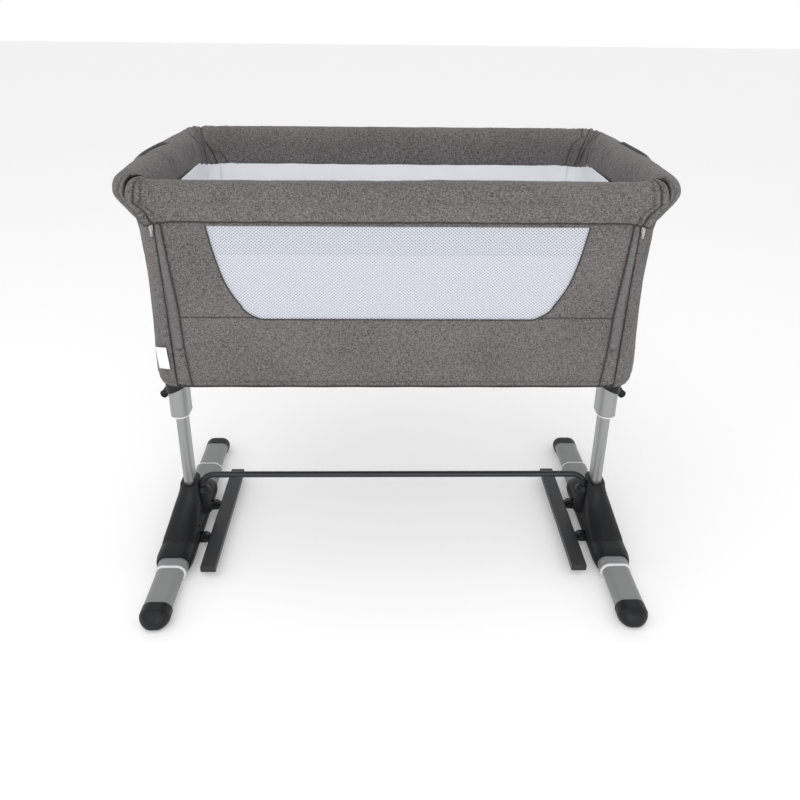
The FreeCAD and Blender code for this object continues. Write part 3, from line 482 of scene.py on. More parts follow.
# ------------------------------------------------------------------ padded rim on the basket
def profile(keys, phi):
    """Closed section through key points (angle, outward, up), smoothed."""
    k = np.array(keys, float)
    g = np.arange(0, 360, 1.0)
    out = []
    w = np.exp(-(np.arange(-24, 25) / 9.0) ** 2)
    w /= w.sum()
    for c in (1, 2):
        f = np.interp(g, np.concatenate([k[:, 0] - 360, k[:, 0], k[:, 0] + 360]), np.tile(k[:, c], 3))
        f = np.convolve(np.concatenate([f[-24:], f, f[:24]]), w, "valid")
        out.append(np.interp(np.mod(phi, 360), np.append(g, 360), np.append(f, f[0])))
    return out


RIM_KEYS = [(0, 24.6, 4), (20, 24.0, 14), (40, 20.0, 25), (60, 12.5, 33), (80, 3.5, 36.6), (100, -6, 37.0), (120, -17, 33.5),
            (140, -26, 25), (160, -31, 13), (180, -32.2, 1), (200, -32, -12), (216, -32, -25), (232, -32, -37), (246, -28, -40.5),
            (262, -14, -40), (280, -3, -38.5), (300, 2.5, -33), (320, 8.5, -24), (335, 15.5, -14), (348, 21.5, -4.5)]
# the sides are rounder inside than the back
RIM_SIDE_KEYS = [(0, 24.6, 4), (20, 24.0, 14), (40, 20.0, 25), (60, 12.5, 33), (80, 3.5, 36.6), (100, -6, 36.5), (120, -16.5, 32.5),
                 (140, -24.5, 24), (160, -29, 12), (180, -30, 0), (200, -28, -11), (216, -24.5, -19.5), (232, -19, -26.5), (246, -13, -31),
                 (262, -8, -38.5), (280, -1, -39.5), (300, 3, -34), (320, 9, -24.5), (335, 15.5, -14), (348, 21.5, -4.5)]
RAIL_KEYS = [(0, 27.6, -1), (20, 27.0, 9.5), (40, 23, 19.5), (60, 15.8, 27), (80, 6, 31.2), (100, -4.5, 31.7), (120, -15, 27.8),
             (140, -23.3, 19.8), (160, -28, 9.3), (180, -29.3, -2), (200, -28.3, -12.5), (220, -25, -22), (240, -18.5, -29),
             (260, -8, -31.5), (275, 2, -32), (288, 13.8, -33), (300, 22.4, -33), (312, 26.2, -28.5), (330, 27.2, -15), (345, 27.6, -7)]


def deg_(p):
    return np.mod(np.asarray(p, float), 360)


def spaced(a, b, fine, coarse, zones):
    """Positions from a to b, close together inside the zones."""
    out, x = [], a
    while x < b:
        out.append(x)
        x += fine if any(lo <= x < hi for lo, hi in zones) else coarse
    return np.array(out[1:])


def basket_roll():
    n = 116
    phi = np.linspace(0, 360, n, endpoint=False)
    ends_t = np.array([1.0, 0.997, 0.987, 0.968, 0.94, 0.90])
    ends_k = np.array([0.925, 0.96, 0.98, 0.993, 0.998, 1.0])
    e_ang = 90.0 - split_angle(phi) - 1.3 - 2.0 * bump(np.mod(phi, 360) - 325, 28)
    rows_c, rows_n, rows_k, tag = [], [], [], []

    def arc(cx, cy, r, th, k, t):
        th = np.broadcast_to(np.radians(th), (n,))
        nn = np.stack([np.cos(th), np.sin(th)], -1)
        rows_c.append(np.array([cx, cy]) + r * nn)
        rows_n.append(nn)
        rows_k.append(k)
        tag.append(t)

    def line(p, q, nn, ss, t):
        for s in ss:
            c = np.array(p) + (np.array(q) - np.array(p)) * s
            rows_c.append(np.broadcast_to(c, (n, 2)))
            rows_n.append(np.broadcast_to(np.array(nn, float), (n, 2)))
            rows_k.append(1.0)
            tag.append(t)

    ts = list(zip(ends_t, ends_k)) + [(t, 1.0) for t in np.linspace(0.87, 0, 28)]
    for t, k in ts:
        arc(-FC[0], FC[1], FCR, 180 + t * e_ang, k, 0)
    ss = (spaced(-210, 221, 1.5, 3.0, [(-210, -165), (14, 36), (70, 221)]) + 210) / 431.0
    line((-430, -210), (-430, 221), (-1, 0), ss, 1)
    for th in np.linspace(180, 90, 44):
        arc(-BC[0], BC[1], BCR, th, 1.0, 2)
    line((-394, 257), (394, 257), (0, 1), (spaced(-394, 394, 1.4, 3.4, [(-394, -322), (322, 394)]) + 394) / 788.0, 3)
    for th in np.linspace(90, 0, 44):
        arc(BC[0], BC[1], BCR, th, 1.0, 4)
    line((430, 221), (430, -210), (1, 0), 1.0 - ss[::-1], 5)
    for t, k in reversed(ts):
        arc(FC[0], FC[1], FCR, -t * e_ang, k, 6)
    c = np.array(rows_c)
    nn = np.array(rows_n)
    k = np.array(rows_k)[:, None]
    m = len(c)
    # length along the middle of the path
    mid = c[:, 0]
    L = np.concatenate([[0], np.cumsum(np.linalg.norm(np.diff(mid, axis=0), axis=1))])[:, None]
    # direction and width towards the inside: the padding fills the back corners to a wide round
    D = -nn * 31.6
    y0, x0, R = 140.0, 313.0, 50.0
    run_out = (221 - y0) + BCR * math.pi / 2 + (394 - x0)
    flat_in = 225.4 - R - y0
    run_in = 2 * flat_in + R * math.pi / 2
    tg_ = np.array(tag)
    for side_, sg, i_arc in ((-1, 1, tag.index(2)), (1, -1, m - 1 - tag[::-1].index(4))):
        start = L[i_arc, 0] - sg * (221 - y0)
        for i in range(m):
            so = (L[i, 0] - start) * sg
            if so < 0 or so > run_out:
                continue
            si = so / run_out * run_in
            if si < flat_in:
                p_ = (398.4, y0 + si)
            elif si < flat_in + R * math.pi / 2:
                t_ = (si - flat_in) / R
                p_ = (398.4 - R + R * math.cos(t_), 225.4 - R + R * math.sin(t_))
            else:
                p_ = (398.4 - R - (si - flat_in - R * math.pi / 2), 225.4)
            D[i] = np.array([side_ * p_[0], p_[1]]) - mid[i]
    Dl = np.linalg.norm(D, axis=-1, keepdims=True)
    Dh = D / Dl
    a_in = Dl[..., 0]
    ph = np.radians(phi)[None, :]
    cs, sn = np.cos(ph), np.sin(ph)
    q = ph * 34.0                                   # length round the section
    x_, y_ = c[..., 0], c[..., 1]
    dist_back = np.minimum(np.abs(np.abs(mid[:, :1]) - 394), 200)
    near_back = np.exp(-((np.hypot(np.abs(mid[:, :1]) - 402, mid[:, 1:2] - 232)) / 62) ** 2)
    near_front = np.exp(-((np.hypot(np.abs(mid[:, :1]) - 416, mid[:, 1:2] + 244)) / 46) ** 2)
    inner_top = step(np.degrees(ph), 40, 100) * (1 - step(np.degrees(ph), 250, 290))
    px, pz = profile(RIM_KEYS, phi)
    sx_, sz_ = profile(RIM_SIDE_KEYS, phi)
    back_w = np.clip((mid[:, 1:2] - 0) / 250.0, 0, 1) ** 1.15
    px = sx_ + (px - sx_) * back_w
    pz = sz_ + (pz - sz_) * back_w
    # fuller towards the corner zips, where it meets the rail, and bowed outward along the sides
    bow = 18.0 * np.cos(np.pi / 2 * np.clip((mid[:, 1:2] - 12) / 252, -1, 1)) ** 0.7
    on_side = np.clip(np.abs(nn[:, :1, 0]) * 1.3, 0, 1)
    bow = bow * on_side
    # level with the rail's end at the zip
    at_zip = np.exp(-(np.minimum(L, L[-1] - L) / 17.0) ** 2)
    grow_out = 1.0 + 0.10 * near_front * (1 - at_zip) + bow / 24.6
    half_x = np.where(px > 0, px * grow_out, px * a_in / 31.6) * k
    half_z = pz * (1 + 0.0022 * bow * (pz > 0)) * (1 - 0.045 * at_zip * (sn > 0)) * k
    # soft unevenness, then gathers that run round the padding near the back corners
    sgn = np.where(mid[:, :1] > 0, 1.0, -1.0)
    d = 0.8 * perlin(L / 70, q / 60, 1) + 0.45 * perlin(L / 24, q / 30, 2)
    calm = 1 - 0.92 * step(np.degrees(ph), 200, 226)
    d = d - 2.3 * near_back * inner_top * calm * np.abs(perlin(L / 11 + 0.6 * perlin(L / 40, q / 26, 9), q / 85, 3)) * 2.0
    d = d - 1.5 * near_back * np.abs(perlin(L / 16, q / 60, 5)) * 1.4
    d = d - 0.9 * near_front * np.abs(perlin(L / 13, q / 46, 6)) * 1.6
    d = d - 0.7 * np.abs(perlin(L / 38 + perlin(q / 30, L / 90, 7), q / 64, 8)) * 1.4 * (0.3 + 0.7 * inner_top)
    # seams: one at each back corner that sweeps from the top outer corner to the inner lower edge of the back,
    # and one beside each corner zip; each is grooved and darkened, partly for its thread and partly as painted shade in
    # the groove
    shade = np.zeros((m, n))
    deg = np.degrees(ph)
    Lb = L[:, 0]
    i_bl = tag.index(3)
    i_br = m - 1 - tag[::-1].index(3)
    left_lines = (([60, 80, 101, 136, 155, 169, 191, 207, 234, 262], [-20, -25, -32, -61, -63, -57, -44, -32, -22, -18], 40, 275, 3.0, 0.95, 2.3),
                  ([184, 191, 199, 210, 221, 237, 262], [-48, -40, -17, -3, 6, 11, 14], 186, 275, 2.4, 0.9, 2.0),
                  ([60, 87, 123, 153, 180, 218, 250], [-92, -105, -136, -132, -120, -105, -98], 70, 236, 3.4, 0.62, 3.2),
                  ([60, 93, 134, 164, 200], [-58, -70, -108, -102, -90], 60, 192, 2.6, 0.50, 2.6),
                  ([60, 93, 134, 164, 190, 230], [-40, -52, -84, -86, -76, -58], 60, 232, 4.2, 0.70, 3.0),
                  ([60, 90, 130, 160, 190], [-30, -36, -68, -74, -62], 60, 182, 1.8, 0.45, 1.8))
    right_lines = (([60, 71, 100, 134, 161, 185, 210, 224, 262], [-16, -20, -40, -62, -64, -57, -45, -37, -30], 40, 275, 3.0, 0.95, 2.3),
                   ([60, 79, 117, 142, 188, 210, 236], [-28, -39, -95, -109, -73, -57, -46], 50, 236, 3.2, 0.8, 2.4),
                   ([80, 112, 139, 161, 196, 221, 262], [-14, -24, -41, -26, -14, -7, -3], 84, 275, 2.6, 0.72, 2.0),
                   ([60, 90, 130, 160, 190, 225], [-78, -92, -132, -134, -122, -108], 70, 232, 3.4, 0.55, 3.2),
                   ([60, 93, 134, 164, 190, 230], [-34, -48, -78, -84, -72, -54], 60, 226, 2.0, 0.45, 2.0))
    for end, sg, lines_ in ((i_bl, 1.0, left_lines), (i_br, -1.0, right_lines)):
        s_ = (L - Lb[end]) * sg
        for at_deg, at_s, d0, d1, dep, dark, wd in lines_:
            dd = s_ - np.interp(deg, at_deg, at_s) - 0.9 * np.sin(deg / 13.0)
            here = step(deg, d0 - 4, d0 + 8) * (1 - step(deg, d1 - 14, d1 + 4))
            d = d - dep * bump(dd, wd + 0.8) * here * calm + 0.35 * dep * (bump(dd - 7, 4) + bump(dd + 7, 4)) * here * calm
            shade = np.maximum(shade, dark * bump(dd, wd) * here)
    for i0, sg in ((0, 1.0), (m - 1, -1.0)):
        # distance from the zip, measured at each height
        dz = np.linalg.norm(c - c[i0][None], axis=-1)
        vis = 1 - step(deg, 120, 170) * (1 - step(deg, 200, 250))
        # painted shade: the padding's end goes black where it parts at the zip, and the seam groove 11 mm away is
        # darkened
        shade = np.maximum(shade, 1.0 * np.exp(-(dz / 2.2) ** 2))
        dd = dz - 11.0
        d = d - 1.5 * bump(dd, 2.1) * vis
        shade = np.maximum(shade, 0.45 * bump(dd, 1.5) * vis)
    # a sewn opening with a lapped edge on each side's outer top, with painted shade in the gap beside the lap
    for sg, ys_, ds_, y_a, y_b, d_end in ((-1.0, [-90, -40, -9, 6, 30], [58, 60, 70, 77, 79], -96, 28, 100),
                                          (1.0, [-60, -6, 33, 80], [58, 67, 69, 70], -66, 78, 84)):
        ycut = mid[:, 1:2]
        here = np.sign(mid[:, :1]) == sg
        line_ = np.interp(ycut, ys_, ds_)
        along = step(ycut, y_a, y_a + 26) * (1 - step(ycut, y_b - 1, y_b + 5)) * here
        dphi = (deg - line_) * 0.66
        d = d - 2.6 * along * bump(dphi - 2.0, 2.6) + 4.2 * along * np.exp(-np.clip(-dphi, 0, 99) / 15) * step(-dphi, -1.0, 2.2)
        shade = np.maximum(shade, 1.0 * along * bump(dphi - 0.8, 3.4))
        # the lap's short end across the top
        endl = step(deg, ds_[-1] - 3, ds_[-1] + 1) * (1 - step(deg, d_end - 5, d_end + 3)) * here
        dd = ycut - (y_b + 2 - (deg - ds_[-1]) * 0.5)
        d = d - 2.0 * endl * bump(dd, 2.6)
        shade = np.maximum(shade, 0.9 * endl * bump(dd, 2.3))
    # loose wrinkles that run round the padding, with painted shade in their creases
    wn = perlin(L / 30 + 0.45 * perlin(L / 60, q / 30, 11), q / 95, 12)
    wr = bump(wn, 0.055) * np.clip(perlin(L / 75, q / 55, 13) * 1.8 + 0.30, 0, 1) * (0.35 + 0.65 * on_side)
    d = d - 1.1 * wr
    shade = np.maximum(shade, 0.42 * wr)
    nx = cs * np.ones_like(L)
    nz = sn * np.ones_like(L)
    hx = half_x + nx * d
    hz = half_z + nz * d
    wx_ = np.where(hx > 0, nn[..., 0], -Dh[..., 0])
    wy_ = np.where(hx > 0, nn[..., 1], -Dh[..., 1])
    P = np.stack([x_ + wx_ * hx, y_ + wy_ * hx, 822.0 + hz], -1)
    UV = np.stack([L + 0 * q, q + 0 * L], -1)
    ob = grid("rim_padding", P, UV, shade, M_HEATHER, close_j=True, caps=True)
    return outward(ob)


def rail_roll():
    n = 120
    phi = np.linspace(0, 360, n, endpoint=False)
    a_end = split_angle(phi) - 1.3 - 1.2 * bump(np.mod(phi, 360) - 325, 28)
    ends_t = np.array([1.0, 0.99, 0.965, 0.92, 0.86, 0.78])
    ends_k = np.array([0.91, 0.95, 0.975, 0.99, 0.998, 1.0])
    ts = list(zip(ends_t, ends_k)) + [(t, 1.0) for t in np.linspace(0.70, 0, 14)]
    rows_c, rows_n, rows_k = [], [], []

    def arc(sx, t, k):
        al = np.radians(t * a_end)
        nn = np.stack([sx * np.sin(al), -np.cos(al)], -1)
        rows_c.append(np.array([sx * FC[0], FC[1]]) + FCR * nn)
        rows_n.append(nn)
        rows_k.append(k)

    for t, k in ts:
        arc(-1, t, k)
    for x in spaced(-383, 383, 1.5, 3.4, [(-383, -330), (330, 383)])[:-1]:
        rows_c.append(np.broadcast_to(np.array([x, -257.0]), (n, 2)))
        rows_n.append(np.broadcast_to(np.array([0.0, -1.0]), (n, 2)))
        rows_k.append(1.0)
    for t, k in reversed(ts):
        arc(1, t, k)
    c, nn, k = np.array(rows_c), np.array(rows_n), np.array(rows_k)[:, None]
    m = len(c)
    L = np.concatenate([[0], np.cumsum(np.linalg.norm(np.diff(c[:, 0], axis=0), axis=1))])[:, None]
    ph = np.radians(phi)[None, :]
    deg = np.degrees(ph)
    cs, sn = np.cos(ph), np.sin(ph)
    q = ph * 30.5
    d = 0.9 * perlin(L / 85, q / 60, 21) + 0.5 * perlin(L / 28, q / 26, 22)
    d = d - 0.9 * np.abs(perlin(L / 44 + perlin(q / 26, L / 80, 24), q / 30, 23)) * 1.3
    # gathers where the cloth is sewn down along the lower front edge
    low = bump(deg - 300, 22)
    d = d - 0.9 * low * np.abs(perlin(L / 9, q / 40, 25)) * 1.5
    shade = np.zeros((m, n))
    # painted shade at each end: black in the zip parting, and darker in the two seam grooves beside it, partly for
    # their thread
    for i0 in (0, m - 1):
        dz = np.linalg.norm(c - c[i0][None], axis=-1)
        vis = 1 - step(deg, 120, 170) * (1 - step(deg, 200, 250))
        shade = np.maximum(shade, 1.0 * np.exp(-(dz / 2.2) ** 2))
        for at_, dep, dark in ((10.5, 2.2, 0.95), (18.5, 1.3, 0.5)):
            dd = dz - at_ - 1.2 * np.sin(deg / 23.0)
            d = d - dep * bump(dd, 2.3) * vis
            shade = np.maximum(shade, dark * bump(dd, 1.6) * vis)
        d = d + 0.9 * bump(dz - 14.5, 2.6) * vis + 0.9 * bump(dz - 5.5, 3.0) * vis
        d = d - 1.2 * np.exp(-dz / 34) * np.abs(perlin(L / 10, q / 36, 27)) * 1.5
    # tucked in at the sewn lower edge, with painted shade along the tuck
    d = d - 0.8 * bump(deg - 303, 6)
    shade = np.maximum(shade, 0.5 * bump(deg - 303, 3.0))
    px, pz = profile(RAIL_KEYS, phi)
    at_zip = np.exp(-(np.minimum(L, L[-1] - L) / 24.0) ** 2)
    half_x = px * (1 + 0.035 * at_zip) * k
    half_z = (pz * (1 + 0.115 * at_zip * (sn > 0)) + (0.35 + 0.65 * (sn > 0)) * 3.0 * perlin(L / 190, 0.4 + 0 * L, 28)) * k
    # the sewn lower edge dips where it meets the corner zips
    low_f = step(deg, 266, 290) * (1 - step(deg, 318, 338))
    near = np.minimum(np.linalg.norm(c - c[0][None], axis=-1), np.linalg.norm(c - c[m - 1][None], axis=-1))
    half_z = half_z - 6.0 * np.exp(-(near / 19.0) ** 2) * low_f
    # wrinkles, recessed and with painted shade in their creases
    wn = perlin(L / 34 + 0.5 * perlin(L / 60, q / 30, 30), q / 80, 19)
    wr = bump(wn, 0.05) * np.clip(perlin(L / 90, q / 50, 20) * 1.8 + 0.15, 0, 1)
    d = d - 0.8 * wr
    shade = np.maximum(shade, 0.18 * wr)
    hx = half_x + cs * d
    hz = half_z + sn * d
    P = np.stack([c[..., 0] + nn[..., 0] * hx, c[..., 1] + nn[..., 1] * hx, 821.0 + hz], -1)
    UV = np.stack([L + 0 * q, q + 0 * L], -1)
    ob = outward(grid("rail_padding", P, UV, shade, M_HEATHER, close_j=True, caps=True))
    # piping along the lower front edge
    j = int(round(305 / 360 * n)) % n
    out = np.stack([nn[4:-4, j, 0], nn[4:-4, j, 1], 0 * nn[4:-4, j, 0] - 0.5], -1)
    path = P[4:-4, j, :] + out * 0.6
    path[:, 2] += 0.5 * perlin(path[:, 0] / 30.0, 0.5 + 0 * path[:, 0], 29)
    pipe = tube("rail_piping", path, 1.35, M_PIPING_DARK_SHADED)
    return ob, pipe


rim = basket_roll()
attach(rim, "basket")
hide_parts("rim_pad_left", "rim_pad_right", "rim_pad_back")
rail, rail_pipe = rail_roll()
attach(rail, "drop_side")
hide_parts("drop_rail_pad")
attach(rail_pipe, "drop_side")


# black zip tape in the parting between the rail's end and the corner padding
def rim_zip(sx):
    phi = np.linspace(75, -66, 80)
    al = np.radians(split_angle(phi))
    nn = np.stack([sx * np.sin(al), -np.cos(al)], -1)
    tt = np.stack([sx * np.cos(al), np.sin(al)], -1)
    ph = np.radians(phi)
    px, pz = profile(RIM_KEYS, phi)
    rad = FCR + px * 1.02 + 0.9 * np.cos(ph)
    z = 822.0 + pz * 0.985 + 0.9 * np.sin(ph)
    c = np.array([sx * FC[0], FC[1]]) + rad[:, None] * nn
    path = np.column_stack([c, z])
    side = np.column_stack([tt, 0 * z])
    ob = strip("rim_zip_%s" % ("right" if sx > 0 else "left"), path, side, 4.0, M_ZIP, n=5)
    return thick(ob, 1.0, 0.0)


for sx in (-1, 1):
    z_ = rim_zip(sx)
    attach(z_, "basket")

# ------------------------------------------------------------------ cloth walls of the basket
WALL_EDGE = 385.9
PANEL_EDGE = 383.2


def draw_in(z):
    """How far the end cloths are pulled in between base frame and rim."""
    return np.interp(z, [487, 500, 548, 600, 640, 680, 720, 768, 790], [3.0, 0.6, 2.6, 6.8, 8.8, 9.3, 8.9, 6.4, 2.6])


def basket_wall():
    zs = np.concatenate([[485.2, 485.9, 487.2, 489.6, 493.0], np.linspace(497, 786, 54), [788.6, 790.6]])
    rows, uvs, shs = [], [], []
    for z in zs:
        hx, hy, r = outer(z)
        cx, cy = hx - r, hy - r
        a0 = math.degrees(math.asin((WALL_EDGE - cx) / r)) - 90
        pts, nrm = [], []
        for a in np.linspace(a0, 0, 52):
            t = math.radians(a)
            pts.append((cx + r * math.cos(t), -cy + r * math.sin(t)))
            nrm.append((math.cos(t), math.sin(t)))
        for y in np.linspace(-cy, cy, 72)[1:-1]:
            pts.append((hx, y))
            nrm.append((1, 0))
        for a in np.linspace(0, 90, 22):
            t = math.radians(a)
            pts.append((cx + r * math.cos(t), cy + r * math.sin(t)))
            nrm.append((math.cos(t), math.sin(t)))
        for x in np.linspace(cx, 0, 70)[1:]:
            pts.append((x, hy))
            nrm.append((0, 1))
        P = np.array(pts)
        N = np.array(nrm, float)
        P = np.concatenate([P, (P * [-1, 1])[::-1][1:]])
        N = np.concatenate([N, (N * [-1, 1])[::-1][1:]])
        L = np.concatenate([[0], np.cumsum(np.linalg.norm(np.diff(P, axis=0), axis=1))])
        L = L - L[-1] / 2
        tot = L[-1]
        # how near each corner and each zip edge
        e = tot - np.abs(L)                          # from the zip edge
        s_front = 18 + 0 * L
        fcorner = np.exp(-((e - 48) / 42) ** 2)
        bx = np.abs(P[:, 0])
        bcorner = np.exp(-((np.hypot(bx - 415, P[:, 1] - (hy - 16))) / 50) ** 2)
        t01 = (z - Z_LO) / (Z_HI - Z_LO)
        d = 0.55 * perlin(L / 60, z / 60 + 0 * L, 31) + 0.35 * perlin(L / 22, z / 30 + 0 * L, 32)
        # long vertical folds at the corners
        d = d - 1.5 * fcorner * np.abs(perlin(L / 17 + 0.4 * math.sin(z / 60), z / 150 + 0 * L, 33)) * 1.6
        d = d - 1.3 * bcorner * np.abs(perlin(L / 15, z / 140 + 0 * L, 34)) * 1.6
        # slack near the bottom hem and just under the rim
        d = d - 1.2 * (1 - step(t01, 0.0, 0.10)) * np.abs(perlin(L / 26, 3.3 + 0 * L, 35)) * 1.5
        d = d - 1.6 * step(t01, 0.86, 1.0) * np.abs(perlin(L / 20, 9.1 + 0 * L, 36)) * 1.5
        d = d - 0.5
        # kept back where the leg sleeves stand beside the end walls
        leg = bump(P[:, 1], 60) * (np.abs(N[:, 0]) > 0.9)
        d = d * (1 - 0.8 * leg) - 0.6 * leg
        # creases in the loose cloth of the front corners, with painted shade in them
        wn = perlin(L / 15 + 0.5 * math.sin(z / 44.0), z / 120 + 0 * L, 37)
        wr = bump(wn, 0.06) * np.clip(perlin(L / 40, z / 70 + 0 * L, 38) * 1.8 + 0.45, 0, 1) * fcorner
        d = d - 1.3 * wr
        # lines darkened with painted shade: binding beside the zip, seams at the back corners
        sh = 0.55 * wr
        d = d - 0.8 * np.exp(-e / 2.0)
        sh = np.maximum(sh, 0.65 * np.exp(-e / 1.5))
        seam = bx - 368.0
        back = P[:, 1] > 0
        d = d - 1.4 * bump(seam, 1.9) * back
        sh = np.maximum(sh, 0.7 * bump(seam, 1.5) * back)
        if z < 496:
            d = d - 1.2 * bump(z - 485.2, 2.0)
            sh = np.maximum(sh, 0.75 * bump(z - 485.2, 1.8))
        d = d - 0.9 * bump(z - 497.5, 1.6)
        sh = np.maximum(sh, 0.30 * bump(z - 497.5, 1.5))
        # never stands out of the space the plain wall holds by more than a trifle
        d = np.clip(d, -3.4, 0.9)
        d = d - float(draw_in(z)) * np.abs(N[:, 0]) ** 2
        Q = P + N * d[:, None]
        rows.append(np.column_stack([Q, np.full(len(Q), z)]))
        uvs.append(np.column_stack([L, np.full(len(L), z)]))
        shs.append(sh)
    ob = grid("basket_wall", np.array(rows), np.array(uvs), np.array(shs), M_HEATHER)
    return thick(ob, 1.3, -1.0)


def sheet_area(ob):
    """Flat area of one face of the cloth."""
    return sum(p.area for p in ob.data.polygons)


wall = basket_wall()
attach(wall, "basket")
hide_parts("fabric_left_end", "fabric_right_end", "fabric_back")

# ------------------------------------------------------------------ front panel with its mesh window
WZ = np.array([621.0, 630.0, 650.0, 675.0, 728.0, 784.0])
WX = np.array([228.0, 246.0, 262.0, 276.5, 293.0, 303.0])


def win_half(z):
    from bisect import bisect
    # smooth through the points
    t = np.clip(z, 621, 784)
    n = len(WZ)
    m = np.gradient(WX, WZ)
    m[0] = 3.2
    i = min(max(bisect(list(WZ), t) - 1, 0), n - 2)
    h = WZ[i + 1] - WZ[i]
    s = (t - WZ[i]) / h
    return ((2 * s ** 3 - 3 * s ** 2 + 1) * WX[i] + (s ** 3 - 2 * s ** 2 + s) * h * m[i]
            + (-2 * s ** 3 + 3 * s ** 2) * WX[i + 1] + (s ** 3 - s ** 2) * h * m[i + 1])


def pipe_x(z):
    return np.interp(z, [490, 504, 555, 600, 630, 660, 696, 728, 772, 786], [358.4, 359.6, 362.6, 363.2, 363.2, 365.0, 367.4, 369.8, 372.3, 373.2])


def panel_disp(x, z):
    """How far the cloth stands out of (or behind) the plain face, and how much painted shade it gets in its seams and
    piping line, at the zip parting and under the rail.
    """
    ax = np.abs(x)
    d = -0.6 + 0.7 * perlin(x / 95, z / 70, 41) + 0.35 * perlin(x / 30, z / 26, 42)
    # the cloth is drawn in a little along the zips and eased along the horizontal seam
    d = d - 0.9 * np.exp(-np.abs(ax - pipe_x(z)) / 26) * np.abs(perlin(z / 13, ax / 60, 43)) * 1.5
    d = d - 0.6 * np.exp(-np.abs(z - 624) / 20) * np.abs(perlin(x / 15, z / 60, 44)) * 1.4
    d = d - 0.8 * np.exp(-(z - 490) / 16) * np.abs(perlin(x / 24, 1.7, 45)) * 1.5
    sh = 0.0 * (x + z)
    seam = bump(z - 624, 1.5) * step(ax, 236, 244) * (1 - step(ax, 360, 363))
    d = d - 1.2 * seam
    sh = np.maximum(sh, 0.72 * bump(z - 624, 1.35) * step(ax, 236, 242) * (1 - step(ax, 361, 363)))
    dd = ax - pipe_x(z)
    d = d - 0.9 * bump(dd + 2.2, 1.5) - 0.9 * bump(dd - 2.2, 1.5)
    sh = np.maximum(sh, 0.75 * bump(dd, 1.3))
    sh = np.maximum(sh, 0.6 * np.exp(-(PANEL_EDGE - ax) / 1.4))
    sh = np.maximum(sh, 0.7 * bump(z - 489.2, 1.6))
    sh = np.maximum(sh, 0.28 * bump(z - 499.5, 1.4))
    sh = np.maximum(sh, 0.35 * step(z, 790.0, 793.0))
    d = d - 0.7 * bump(z - 499.5, 1.4)
    d = d - 0.9 * bump(z - 489.2, 2.0)
    d = np.clip(d, -3.6, 0.8)
    return d - 1.2 * step(z, 789.0, 793.0), sh


def panel_patch(xs_of, zs):
    rows, uvs, shs = [], [], []
    for z in zs:
        x = np.asarray(xs_of(z), float)
        d, sh = panel_disp(x, z + 0 * x)
        y = front_surface(x, z) - d
        rows.append(np.column_stack([x, y, np.full(len(x), z)]))
        uvs.append(np.column_stack([x, np.full(len(x), z)]))
        shs.append(sh)
    return np.array(rows), np.array(uvs), np.array(shs)


def front_panel():
    n1, n2 = 66, 120
    ease = lambda a, b, n: a + (b - a) * np.linspace(0, 1, n)
    from_edge = lambda a, b, n: a + (b - a) * np.linspace(0, 1, n) ** 1.4
    z_low = np.concatenate([[489.0, 489.8, 491.6, 495, 499.5, 502], np.linspace(506, 617, 26), [619.5, 621.0]])
    z_up = np.concatenate([[621.0, 622.2, 623.2, 624.0, 624.8, 625.8, 627.2, 629.5], np.linspace(633, 780, 34), [782.6, 784.0]])
    z_top = np.array([784.0, 785.2, 786.6, 788.2, 790.0, 791.6, 793.0])
    parts = []
    w0 = win_half(621.0)
    w1 = win_half(784.0)
    left = lambda w: from_edge(-PANEL_EDGE, -w, n1)
    full = lambda w: np.concatenate([left(w), ease(-w, w, n2)[1:-1], -left(w)[::-1]])
    parts.append(panel_patch(lambda z: full(w0), z_low))
    parts.append(panel_patch(lambda z: left(win_half(z)), z_up))
    parts.append(panel_patch(lambda z: -left(win_half(z))[::-1], z_up))
    parts.append(panel_patch(lambda z: full(w1), z_top))
    V, U, S, F = [], [], [], []
    for P, uv, sh in parts:
        base = len(V)
        m, n = P.shape[:2]
        V += list(map(tuple, P.reshape(-1, 3)))
        U += list(map(tuple, uv.reshape(-1, 2)))
        S += list(sh.ravel())
        for i in range(m - 1):
            for j in range(n - 1):
                F.append((base + i * n + j, base + i * n + j + 1, base + (i + 1) * n + j + 1, base + (i + 1) * n + j))
    ob = obj_from("front_cloth", V, F, U, S, M_HEATHER)
    return thick(ob, 2.2, -1.0)


panel = front_panel()
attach(panel, "drop_side")
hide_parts("front_panel")
PANEL_AREA = 0.766 * 0.297 - 0.5 * 0.163 * (0.606 + 0.480)


def window_mesh():
    zs = np.sort(np.concatenate([np.linspace(616, 788, 44), [733.5, 734.8, 736.8, 738.0, 739.2]]))
    rows, uvs, shs = [], [], []
    for z in zs:
        w = win_half(z) + 5.0
        x = np.linspace(-w, w, 110)
        sag = 2.0 + 1.6 * np.cos(np.pi * x / (2 * w)) * math.sin(math.pi * (z - 616) / 172) + 0.5 * perlin(x / 60, z / 40 + 0 * x, 51)
        y = front_surface(x, z) + sag
        # painted shade: a darker band across the top, partly the rail's shadow and partly a second layer seen through,
        # and darker along the window's edges
        sh = step(z, 734, 738) * 0.6 + 0.5 * bump(z - 736.5, 1.5) + 0 * x
        edge = np.exp(-(w - 5 - np.abs(x)) / 5.0)
        sh = np.maximum(sh, 0.4 * np.clip(edge, 0, 1))
        rows.append(np.column_stack([x, y, np.full(len(x), z)]))
        uvs.append(np.column_stack([x, np.full(len(x), z)]))
        shs.append(np.clip(sh, 0, 1))
    ob = grid("window_mesh", np.array(rows), np.array(uvs), np.array(shs), M_MESH, flip=True)
    return thick(ob, 0.8, -1.0)


wm = window_mesh()
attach(wm, "drop_side")
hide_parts("mesh_window")


